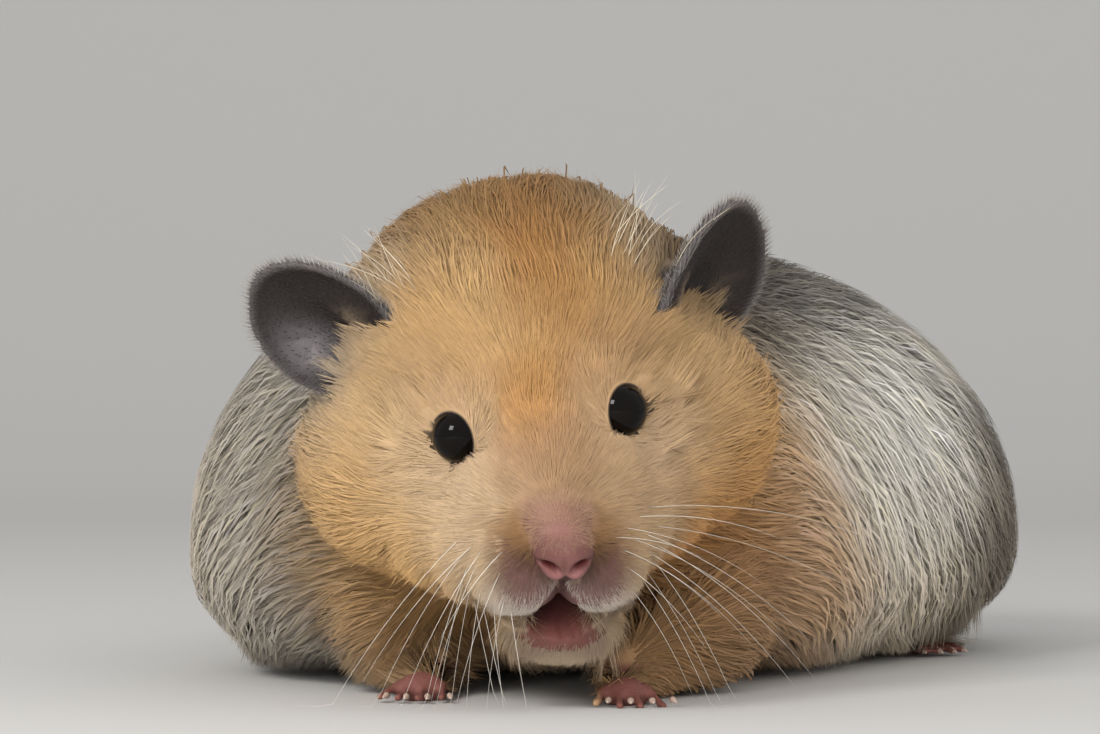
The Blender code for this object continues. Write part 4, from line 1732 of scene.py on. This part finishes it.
    def build(self, thin: float = 1.0) -> list[bpy.types.Object]:
        """Makes every piece of the coat.

        Args:
            thin: Share of the tufts to make.

        Returns:
            The pieces.
        """
        roots = self.plant()
        if thin < 1.0:
            keep = self.rng.uniform(0.0, 1.0, len(roots.at)) < thin
            roots = roots.picked(keep)
            roots.width = roots.width / math.sqrt(thin)
        which = self.zones(roots.at)
        curved = self.rng.uniform(0.0, 1.0, len(roots.at)) < np.where(roots.at[:, 1] > 36.0, 0.20, 0.13)
        curved &= (which != ZONES.index(Zone.MUZZLE)) & (which != ZONES.index(Zone.BROW))
        roots.width = roots.width * np.where(curved, 1.25, 1.0)
        made = []
        for number, zone in enumerate(ZONES):
            for steps, kind in ((1, "fur"), (2, "locks")):
                mine = np.flatnonzero((which == number) & (curved == (steps == 2)))
                parts = max(1, math.ceil(len(mine) * (6 * steps - 2) / self.limit))
                order = mine[np.argsort(roots.at[mine, 1], kind="stable")]
                for part, share in enumerate(np.array_split(order, parts)):
                    if len(share):
                        name = f"{zone.value}_{kind}" + (f"_{part + 1}" if parts > 1 else "")
                        made.append(self.tufts(zone, name, roots.picked(share), steps, 0.09))
        return made


# ---- whiskers, down, claws, eyes ----


@dataclass
class Threads:
    """Single hairs as tapering threads: the whiskers, the brow's hairs and the ears' down.

    Attributes:
        stance: The frames.
        starts: Roots in body millimetres.
        ways: Directions, with lengths.
        bends: How each end bows away.
        widths: Thickness at the root.
        colours: Linear colours.
        steps: Lengths along each.
    """

    stance: Stance
    starts: Array
    ways: Array
    bends: Array
    widths: Array
    colours: Array
    steps: int = 8

    def build(self, name: str) -> bpy.types.Object:
        """Makes the threads as one piece.

        Args:
            name: Name of the piece.

        Returns:
            The piece.
        """
        count = len(self.starts)
        share = np.linspace(0.0, 1.0, self.steps + 1)[None, :, None]
        line = self.starts[:, None] + self.ways[:, None] * share + self.bends[:, None] * share**2
        line[..., 2] = np.maximum(line[..., 2], 0.3)
        way = unit(self.ways)
        across = unit(np.cross(way, (0.13, 0.21, 1.0)))
        up = np.cross(across, way)
        rings = []
        for number in range(self.steps):
            size = (self.widths * (1.0 - 0.82 * number / self.steps) / 2)[:, None]
            for angle in (0.0, math.tau / 3, 2 * math.tau / 3):
                rings.append(line[:, number] + size * (across * math.cos(angle) + up * math.sin(angle)))
        rings.append(line[:, -1])
        points = np.stack(rings, axis=1).reshape(-1, 3)
        piece = joined(name, self.stance.packed(points), strand_triangles(count, self.steps))
        colours = np.repeat(self.colours, 3 * self.steps + 1, axis=0)
        put_colours(piece.data, "coat_colour", colours)
        put_numbers(piece.data, "along", np.tile(strand_shares(self.steps), count))
        put_bake_map(piece.data, self.spots(), self.steps)
        return piece

    def spots(self) -> Array:
        """Each root's place on the bake map, as seen from the front.

        Returns:
            Rows of two numbers from 0 to 1.
        """
        low, high = self.starts.min(axis=0), self.starts.max(axis=0)
        span = np.maximum(high - low, 1e-6)
        return ((self.starts - low) / span)[:, [0, 2]] * 0.98 + 0.01


@dataclass
class Trimmings:
    """The whiskers, the brow's hairs, the ears' down, the claws and the eyes.

    Attributes:
        stance: The frames.
        coat: The coat, for its search tree.
        rows: Rows of whiskers on each pad.
        seed: For what is left to chance.
    """

    stance: Stance
    coat: Coat
    rows: int = 4
    seed: int = 4

    def hairs(self, name: str, rows: list[tuple], colours: Array, steps: int) -> bpy.types.Object:
        """Makes single hairs that start on the skin.

        Args:
            name: Name of the piece.
            rows: Start, direction, bend and width of each.
            colours: Their linear colours.
            steps: Lengths along each.

        Returns:
            The piece.
        """
        starts, ways, bends, widths = (np.array(part) for part in zip(*rows))
        found, _ = self.coat.nearest(starts)
        return Threads(self.stance, found, ways, bends, widths, colours, steps).build(name)

    def whiskers(self) -> bpy.types.Object:
        """Makes the whiskers, fanned from the pads on both sides.

        Returns:
            The piece.
        """
        rng = np.random.default_rng(self.seed)
        rows = []
        for side in Side:
            for row in range(self.rows):
                for number in range(4):
                    back = number / 3
                    start = Vector((side.value * (5.6 + 3.2 * back), -11.0 + 5.0 * back, -8.0 - 1.8 * row))
                    low = row / (self.rows - 1)
                    first = -4.0 if side is Side.LEFT else -34.0
                    fan = math.radians(first - 52.0 * low + rng.uniform(-8.0, 8.0))
                    length = (11.0 + 14.0 * back) * rng.uniform(0.75, 1.15)
                    way = Vector((side.value * math.cos(fan), -0.42 + 0.35 * back, math.sin(fan)))
                    turned = self.stance.head.to_3x3() @ (way.normalized() * length)
                    bend = (side.value * -1.0 * length / 14, 2.0 * length / 14, -3.4 * length / 14)
                    rows.append((self.stance.head @ start, turned, bend, rng.uniform(0.06, 0.09)))
        colours = WHISKER_WHITE * rng.uniform(0.8, 1.05, (len(rows), 1))
        return self.hairs("whiskers", rows, np.minimum(colours, PALEST), 10)

    def brow_hairs(self) -> bpy.types.Object:
        """Makes the few long pale hairs of the brow, ear roots and crown.

        Returns:
            The piece.
        """
        rng = np.random.default_rng(self.seed + 1)
        rows = []
        for side in Side:
            for _ in range(16):
                start = Vector((side.value * rng.uniform(10.0, 15.0), rng.uniform(9.0, 15.0), 12.0))
                way = Vector((side.value * rng.uniform(0.1, 0.9), rng.uniform(-0.2, 0.6), 1.0))
                turned = self.stance.head.to_3x3() @ (way.normalized() * rng.uniform(5.0, 10.0))
                bend = (side.value * rng.uniform(-1.0, 4.0), 2.0, rng.uniform(-2.0, 1.0))
                rows.append((self.stance.head @ start, turned, bend, rng.uniform(0.07, 0.12)))
        return self.hairs("brow_hairs", rows, np.tile(BROW_WHITE, (len(rows), 1)), 7)

    def ear_down(self) -> bpy.types.Object:
        """Makes the fine pale down along the ears' rims and inside them.

        Returns:
            The piece.
        """
        rng = np.random.default_rng(self.seed + 2)
        at, out = self.ear_places(rng, 11000)
        starts, ways, bends, widths, colours = [], [], [], [], []
        for ear in EARS.values():
            frame = ear.frame(self.stance.head)
            own = moved(at, frame.inverted())
            mine = ear_share(own, ear) > 0.5
            edge = ear_edge(own, ear)[mine]
            lateral = own[mine] * (1.0, 0.0, 1.0) - (0.0, 0.0, 3.0)
            way = unit(lateral) @ np.array(frame)[:3, :3].T
            rim = ramp(edge, 0.80, 1.0)
            length = 0.5 + 0.5 * rim + 0.4 * rng.uniform(size=len(edge))
            blend = unit(way * (0.75 + 0.4 * rim)[:, None] + out[mine] * 0.45)
            starts.append(at[mine])
            ways.append(blend * length[:, None])
            bends.append(np.zeros_like(blend))
            widths.append(0.05 + 0.03 * rng.uniform(size=len(edge)))
            colours.append(DOWN_DARK + np.outer(rim, DOWN_PALE - DOWN_DARK))
        threads = Threads(
            self.stance, *(np.concatenate(part) for part in (starts, ways, bends, widths, colours)), 1
        )
        return threads.build("ear_down")

    def ear_places(self, rng: np.random.Generator, wanted: int) -> tuple[Array, Array]:
        """Places on both ears and the normals there.

        Args:
            rng: For what is left to chance.
            wanted: How many.

        Returns:
            The places and the normals.
        """
        points, triangles = self.coat.points, self.coat.triangles
        a, b, c = (points[triangles[:, k]] for k in range(3))
        cross = np.cross(b - a, c - a)
        middle = (a + b + c) / 3
        share = np.zeros(len(middle))
        for ear in EARS.values():
            own = moved(middle, ear.frame(self.stance.head).inverted())
            share += ear_share(own, ear) * (0.35 + 2.2 * ramp(ear_edge(own, ear), 0.82, 0.97))
        many = np.linalg.norm(cross, axis=1) * share
        chosen = rng.choice(len(many), wanted, p=many / many.sum())
        return middle[chosen], unit(cross[chosen])

    def claws(self) -> bpy.types.Object:
        """Makes a small tapering claw on every toe.

        Returns:
            The piece.
        """
        shape = bmesh.new()
        for foot in FEET.values():
            for number in range(foot.toes):
                _, tip, point = foot.toe(number)
                way = point - tip
                radius = foot.width * 0.06
                spin = way.to_track_quat("Z", "Y").to_matrix().to_4x4()
                placed = foot.frame() @ Matrix.Translation(tip + way * 0.40) @ spin
                made = bmesh.ops.create_cone(
                    shape, cap_ends=True, segments=10, radius1=radius, radius2=radius * 0.22,
                    depth=way.length * 1.05, matrix=placed,
                )
                long = list({edge for vertex in made["verts"] for edge in vertex.link_edges})
                long = [edge for edge in long if edge.calc_length() > way.length * 0.8]
                bmesh.ops.subdivide_edges(shape, edges=long, cuts=3)
        for vertex in shape.verts:
            vertex.co.z = max(vertex.co.z, 0.05)
        return self.finished("claws", shape)

    def eye(self, side: Side) -> bpy.types.Object:
        """Makes one eyeball, its cornea raised a little over the dark iris.

        Args:
            side: Which eye.

        Returns:
            The eye.
        """
        shape = bmesh.new()
        bmesh.ops.create_uvsphere(shape, u_segments=64, v_segments=48, radius=1.0)
        for vertex in shape.verts:
            raised = max(0.0, vertex.co.z - 0.2) / 0.8
            vertex.co *= (self.stance.eye_radius - 0.09) * (1.0 + 0.03 * raised**3)
        gaze = Vector((side.value * 0.68, -0.72, 0.12)).normalized()
        placed = self.stance.head @ Matrix.Translation(self.stance.eyes[side])
        placed = placed @ gaze.to_track_quat("Z", "Y").to_matrix().to_4x4()
        bmesh.ops.transform(shape, matrix=placed, verts=shape.verts[:])
        return self.finished(f"{side.name.lower()}_eyeball", shape)

    def finished(self, name: str, shape: bmesh.types.BMesh) -> bpy.types.Object:
        """An object of the shape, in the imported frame.

        Args:
            name: Its name.
            shape: The shape in body millimetres, which is freed.

        Returns:
            The object.
        """
        bmesh.ops.recalc_face_normals(shape, faces=shape.faces[:])
        mesh = bpy.data.meshes.new(name)
        shape.to_mesh(mesh)
        shape.free()
        points = np.array([vertex.co for vertex in mesh.vertices])
        mesh.vertices.foreach_set("co", self.stance.packed(points).astype(np.float32).ravel())
        mesh.update()
        mesh.shade_smooth()
        return placed_object(name, mesh)


# ---- finishes ----


class Nodes:
    """A short hand for a material's node tree.

    Attributes:
        tree: The node tree.
    """

    def __init__(self, tree: bpy.types.NodeTree) -> None:
        """Keeps the tree.

        Args:
            tree: The node tree.
        """
        self.tree = tree

    def add(self, kind: str, **settings: object) -> bpy.types.Node:
        """Adds a node.

        Args:
            kind: Its type.
            settings: Its properties.

        Returns:
            The node.
        """
        node = self.tree.nodes.new(kind)
        for name, value in settings.items():
            setattr(node, name, value)
        return node

    def feed(self, source: bpy.types.NodeSocket, target: bpy.types.NodeSocket) -> None:
        """Links one socket to another."""
        self.tree.links.new(source, target)

    def give(self, value: object, target: bpy.types.NodeSocket) -> None:
        """Links a socket to the target, or sets a plain value on it.

        Args:
            value: A socket or a plain value.
            target: The node's input.
        """
        if isinstance(value, bpy.types.NodeSocket):
            self.feed(value, target)
        else:
            target.default_value = value

    def fill(self, node: bpy.types.Node, values: dict[str, object]) -> None:
        """Links sockets to a node's inputs, or sets plain values on them, by the inputs' names."""
        for name, value in values.items():
            self.give(value, node.inputs[name])

    def maths(self, operation: str, first: object, second: object) -> bpy.types.NodeSocket:
        """A sum, product or the like of two numbers or sockets.

        Args:
            operation: Which one.
            first: A number or a socket.
            second: A number or a socket.

        Returns:
            The result's socket.
        """
        node = self.add("ShaderNodeMath", operation=operation)
        for socket, value in zip(node.inputs, (first, second)):
            self.give(value, socket)
        return node.outputs[0]

    def attribute(self, name: str, output: str) -> bpy.types.NodeSocket:
        """A stored attribute's socket."""
        return self.add("ShaderNodeAttribute", attribute_name=name).outputs[output]

    def mix(self, share: object, first: object, second: object, blend: str = "MIX") -> bpy.types.NodeSocket:
        """A mix of two colours.

        Args:
            share: How much of the second.
            first: A colour or a socket.
            second: A colour or a socket.
            blend: How they mix.

        Returns:
            The result's socket.
        """
        node = self.add("ShaderNodeMix", data_type="RGBA", blend_type=blend)
        for number, value in ((0, share), (6, first), (7, second)):
            self.give(value, node.inputs[number])
        return node.outputs[2]

    def texture(self, kind: str, scale: object) -> bpy.types.Node:
        """A texture that stays with the object.

        Args:
            kind: Its type of node.
            scale: Its scale, a number or a socket.

        Returns:
            The texture's node.
        """
        node = self.add(kind)
        where = self.add("ShaderNodeTexCoord").outputs["Object"]
        self.fill(node, {"Vector": where, "Scale": scale})
        return node

    def toned(self, colour: bpy.types.NodeSocket, tone: bpy.types.NodeSocket) -> bpy.types.NodeSocket:
        """A colour made lighter or darker by a number.

        Args:
            colour: The colour's socket.
            tone: The number's socket.

        Returns:
            The result's socket.
        """
        grey = self.add("ShaderNodeCombineColor")
        for socket in grey.inputs[:3]:
            self.feed(tone, socket)
        return self.mix(1.0, colour, grey.outputs[0], "MULTIPLY")


def new_material(name: str) -> tuple[bpy.types.Material, Nodes, bpy.types.Node]:
    """A new material with its node tree and its shader.

    Args:
        name: Its name.

    Returns:
        The material, its nodes and its shader.
    """
    material = bpy.data.materials.new(name)
    material.use_nodes = True
    return material, Nodes(material.node_tree), material.node_tree.nodes["Principled BSDF"]


def strand_group() -> bpy.types.NodeTree:
    """The group that every hair finish shares: how a strand's tone runs from root to tip.

    Returns:
        The node group.
    """
    group = bpy.data.node_groups.new("strand_tone", "ShaderNodeTree")
    for name, kind, preset in (
        ("Colour", "NodeSocketColor", (0.5, 0.5, 0.5, 1.0)),
        ("Along", "NodeSocketFloat", 0.5),
        ("Root Tone", "NodeSocketFloat", 0.6),
        ("Tip Tone", "NodeSocketFloat", 1.1),
        ("Grain", "NodeSocketFloat", 0.2),
        ("Grain Scale", "NodeSocketFloat", 900.0),
    ):
        socket = group.interface.new_socket(name, in_out="INPUT", socket_type=kind)
        socket.default_value = preset
    group.interface.new_socket("Colour", in_out="OUTPUT", socket_type="NodeSocketColor")
    group.interface.new_socket("Roughness", in_out="OUTPUT", socket_type="NodeSocketFloat")
    nodes = Nodes(group)
    given = nodes.add("NodeGroupInput").outputs
    result = nodes.add("NodeGroupOutput").inputs
    noise = nodes.texture("ShaderNodeTexNoise", given["Grain Scale"])
    noise.inputs["Detail"].default_value = 2.0
    uneven = nodes.maths("MULTIPLY", nodes.maths("SUBTRACT", noise.outputs["Fac"], 0.5), given["Grain"])
    span = nodes.maths("SUBTRACT", given["Tip Tone"], given["Root Tone"])
    lit = nodes.maths("ADD", given["Root Tone"], nodes.maths("MULTIPLY", given["Along"], span))
    tone = nodes.maths("ADD", lit, uneven)
    nodes.feed(nodes.toned(given["Colour"], tone), result["Colour"])
    rough = nodes.maths("ADD", 0.68, nodes.maths("MULTIPLY", uneven, 0.6))
    nodes.feed(rough, result["Roughness"])
    return group


@dataclass(frozen=True)
class HairFinish:
    """The finish of fur, whiskers or down.

    Attributes:
        name: Name of the material.
        root: Tone at the root.
        tip: Tone at the tip.
        grain: Unevenness along the strand.
        sheen: Strength of the soft edge light.
    """

    name: str
    root: float
    tip: float
    grain: float
    sheen: float

    def build(self, group: bpy.types.NodeTree) -> bpy.types.Material:
        """Makes the material.

        Args:
            group: The strand tone group.

        Returns:
            The material.
        """
        material, nodes, shader = new_material(self.name)
        strand = nodes.add("ShaderNodeGroup", node_tree=group)
        colour, along = nodes.attribute("coat_colour", "Color"), nodes.attribute("along", "Fac")
        nodes.fill(strand, {"Colour": colour, "Along": along, "Grain": self.grain})
        nodes.fill(strand, {"Root Tone": self.root, "Tip Tone": self.tip})
        made = strand.outputs
        nodes.fill(shader, {"Base Color": made["Colour"], "Roughness": made["Roughness"]})
        nodes.fill(shader, {"Sheen Weight": self.sheen, "Sheen Roughness": 0.45})
        nodes.fill(shader, {"Specular IOR Level": 0.18})
        return material


@dataclass(frozen=True)
class SkinFinish:
    """The finish of bare skin: pores, fine creases, and a damp nose.

    Attributes:
        name: Name of the material.
    """

    name: str = "warm_skin"

    def build(self) -> bpy.types.Material:
        """Makes the material.

        Returns:
            The material.
        """
        material, nodes, shader = new_material(self.name)
        mottle = nodes.texture("ShaderNodeTexNoise", 700.0)
        mottle.inputs["Detail"].default_value = 4.0
        pores = nodes.texture("ShaderNodeTexVoronoi", 3600.0)
        tone = nodes.maths("ADD", 0.80, nodes.maths("MULTIPLY", mottle.outputs["Fac"], 0.40))
        colour = nodes.toned(nodes.attribute("coat_colour", "Color"), tone)
        wet = nodes.attribute("wet", "Fac")
        rough = nodes.maths("SUBTRACT", 0.68, nodes.maths("MULTIPLY", wet, 0.26))
        bump = nodes.add("ShaderNodeBump")
        creases = nodes.maths("MULTIPLY", mottle.outputs["Fac"], 1.4)
        height = nodes.maths("ADD", pores.outputs["Distance"], creases)
        nodes.fill(bump, {"Strength": 0.35, "Distance": 0.00012, "Height": height})
        normal = bump.outputs["Normal"]
        nodes.fill(shader, {"Base Color": colour, "Roughness": rough, "Normal": normal})
        return material


@dataclass(frozen=True)
class CloudedFinish:
    """The finish of the eyes and the claws: two colours that mingle in soft clouds.

    Attributes:
        name: Name of the material.
        first: Linear colour where the clouds are thin.
        second: Linear colour where they are thick.
        scale: How fine the clouds are.
        roughness: Roughness of the surface.
        shine: Strength of its mirror light.
    """

    name: str
    first: Triple
    second: Triple
    scale: float
    roughness: float
    shine: float = 0.5

    def build(self) -> bpy.types.Material:
        """Makes the material.

        Returns:
            The material.
        """
        material, nodes, shader = new_material(self.name)
        cloud = nodes.texture("ShaderNodeTexNoise", self.scale)
        colour = nodes.mix(cloud.outputs["Fac"], (*self.first, 1.0), (*self.second, 1.0))
        nodes.fill(shader, {"Base Color": colour, "Roughness": self.roughness})
        nodes.fill(shader, {"Specular IOR Level": self.shine})
        return material


# ---- studio ----


@dataclass
class Studio:
    """The camera, the floor and the lights.

    Attributes:
        stance: The frames.
        far: How far in front of the eyes the camera stands.
        height: Its height over the ground.
        side: How far left of the body's mid-line it stands.
        view_width: Width of the view at the eyes.
    """

    stance: Stance
    far: float = 420.0
    height: float = 34.5
    side: float = 0.0
    view_width: float = 110.0

    def point(self, x: float, y: float, z: float) -> Vector:
        """A place in body millimetres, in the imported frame."""
        return Vector((x, y, z)) * MM + self.stance.shift

    def camera(self) -> None:
        """Sets up the camera, level, looking back along +Y."""
        data = bpy.data.cameras.new("camera")
        data.sensor_width = 36.0
        data.lens = 36.0 * self.far / self.view_width
        data.clip_start = 0.01
        camera = placed_object("camera", data)
        camera.location = self.point(self.side, -self.far, self.height)
        camera.rotation_euler = (math.radians(90.0), 0.0, 0.0)
        bpy.context.scene.camera = camera

    def floor(self) -> None:
        """Lays a plain pale floor that sweeps up behind the animal."""
        shape = bmesh.new()
        bmesh.ops.create_grid(shape, x_segments=8, y_segments=160, size=1.0)
        bend = 0.6
        for vertex in shape.verts:
            run = (vertex.co.y + 1.0) * 2.6 - 2.4
            round_part = min(max(run - 0.5, 0.0), bend * math.pi / 2) / bend
            rise = max(run - 0.5 - bend * math.pi / 2, 0.0)
            along = min(run, 0.5) + bend * math.sin(round_part)
            up = bend * (1.0 - math.cos(round_part)) + rise
            vertex.co = (vertex.co.x * 3.0, along, up)
        mesh = bpy.data.meshes.new("floor")
        shape.to_mesh(mesh)
        shape.free()
        mesh.shade_smooth()
        floor = placed_object("floor", mesh)
        material, nodes, shader = new_material("pale_floor")
        nodes.fill(shader, {"Base Color": (0.56, 0.555, 0.545, 1.0), "Roughness": 0.9})
        mesh.materials.append(material)

    def light(self, name: str, place: Triple, power: float, size: float, glint: bool = False) -> None:
        """Adds one soft square light that faces the animal.

        Args:
            name: Its name.
            place: Where it hangs, in body millimetres.
            power: Its watts.
            size: Its side, in metres.
            glint: Whether it shows as a glint in the eyes.
        """
        data = bpy.data.lights.new(name, "AREA")
        data.energy, data.size, data.color = power, size, (1.0, 0.98, 0.95)
        lamp = placed_object(name, data)
        lamp.location = self.point(*place)
        aim = self.point(0.0, 25.0, 22.0) - lamp.location
        lamp.rotation_euler = aim.to_track_quat("-Z", "Y").to_euler()
        lamp.visible_glossy = glint

    def build(self) -> None:
        """Sets up everything round the animal."""
        self.camera()
        self.floor()
        self.light("key", (-330.0, -440.0, 400.0), 2.3, 0.18, True)
        self.light("front", (-120.0, -540.0, 160.0), 2.1, 0.35)
        self.light("right_window", (800.0, -450.0, 480.0), 3.8, 1.20)
        self.light("left_window", (-900.0, -350.0, 600.0), 1.5, 1.20)
        world = bpy.data.worlds.new("studio_air")
        world.use_nodes = True
        air = world.node_tree.nodes["Background"]
        Nodes(world.node_tree).fill(air, {"Color": (0.84, 0.84, 0.84, 1.0), "Strength": 0.74})
        scene = bpy.context.scene
        scene.world = world
        scene.view_settings.view_transform = "Standard"


# ---- all of it ----

FLESH = (
    "head", "lower_jaw", "nose", "neck", "trunk", "tail", "ear_left", "ear_right",
    "foreleg_left", "foreleg_right", "hindleg_left", "hindleg_right", *FEET,
)


def report(piece: bpy.types.Object) -> None:
    """Logs a piece's name and size."""
    LOG.info("%s: %d triangles", piece.name, triangle_count(piece.data))


def dress(piece: bpy.types.Object, material: bpy.types.Material) -> None:
    """Gives a piece its material and finish slot, and lets it ride on the body.

    Args:
        piece: The piece.
        material: Its material.
    """
    piece.data.materials.clear()
    piece.data.materials.append(material)
    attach(piece, "root")
    report(piece)


def main() -> None:
    """Builds the dressed hamster."""
    logging.basicConfig(level=logging.INFO, format="%(message)s")
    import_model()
    stance = Stance()
    stance.measure()
    markings = Markings(stance)
    group = strand_group()
    face_fur = HairFinish("short_fur", 0.84, 1.08, 0.16, 0.0).build(group)
    long_fur = HairFinish("long_fur", 0.88, 1.06, 0.14, 0.0).build(group)
    whisker = HairFinish("pale_whisker", 0.80, 0.95, 0.10, 0.0).build(group)
    down = HairFinish("ear_down_hair", 0.80, 1.20, 0.10, 0.1).build(group)

    builder = Skin(stance, markings)
    skin = builder.build()
    points, triangles = corners(skin.data)
    coat = Coat(stance, markings, points, triangles)
    builder.dress(skin)
    dress(skin, SkinFinish().build())
    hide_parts(*FLESH)

    for piece in coat.build(1.0):
        short = piece.name.startswith(("muzzle", "brow", "cheek", "throat", "crown"))
        dress(piece, face_fur if short else long_fur)
    trimmings = Trimmings(stance, coat)
    dress(trimmings.whiskers(), whisker)
    dress(trimmings.brow_hairs(), whisker)
    dress(trimmings.ear_down(), down)
    horn = CloudedFinish("pale_horn", (0.62, 0.50, 0.42), (0.40, 0.26, 0.21), 1500.0, 0.35)
    dress(trimmings.claws(), horn.build())
    black, brown = (0.0015, 0.0015, 0.0015), (0.006, 0.004, 0.003)
    eye_finish = CloudedFinish("wet_black_eye", black, brown, 500.0, 0.06, 0.14).build()
    for side in Side:
        eye = trimmings.eye(side)
        dress(eye, eye_finish)
        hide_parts(f"eye_{side.name.lower()}")

    Studio(stance).build()


if __name__ == "__main__":
    main()
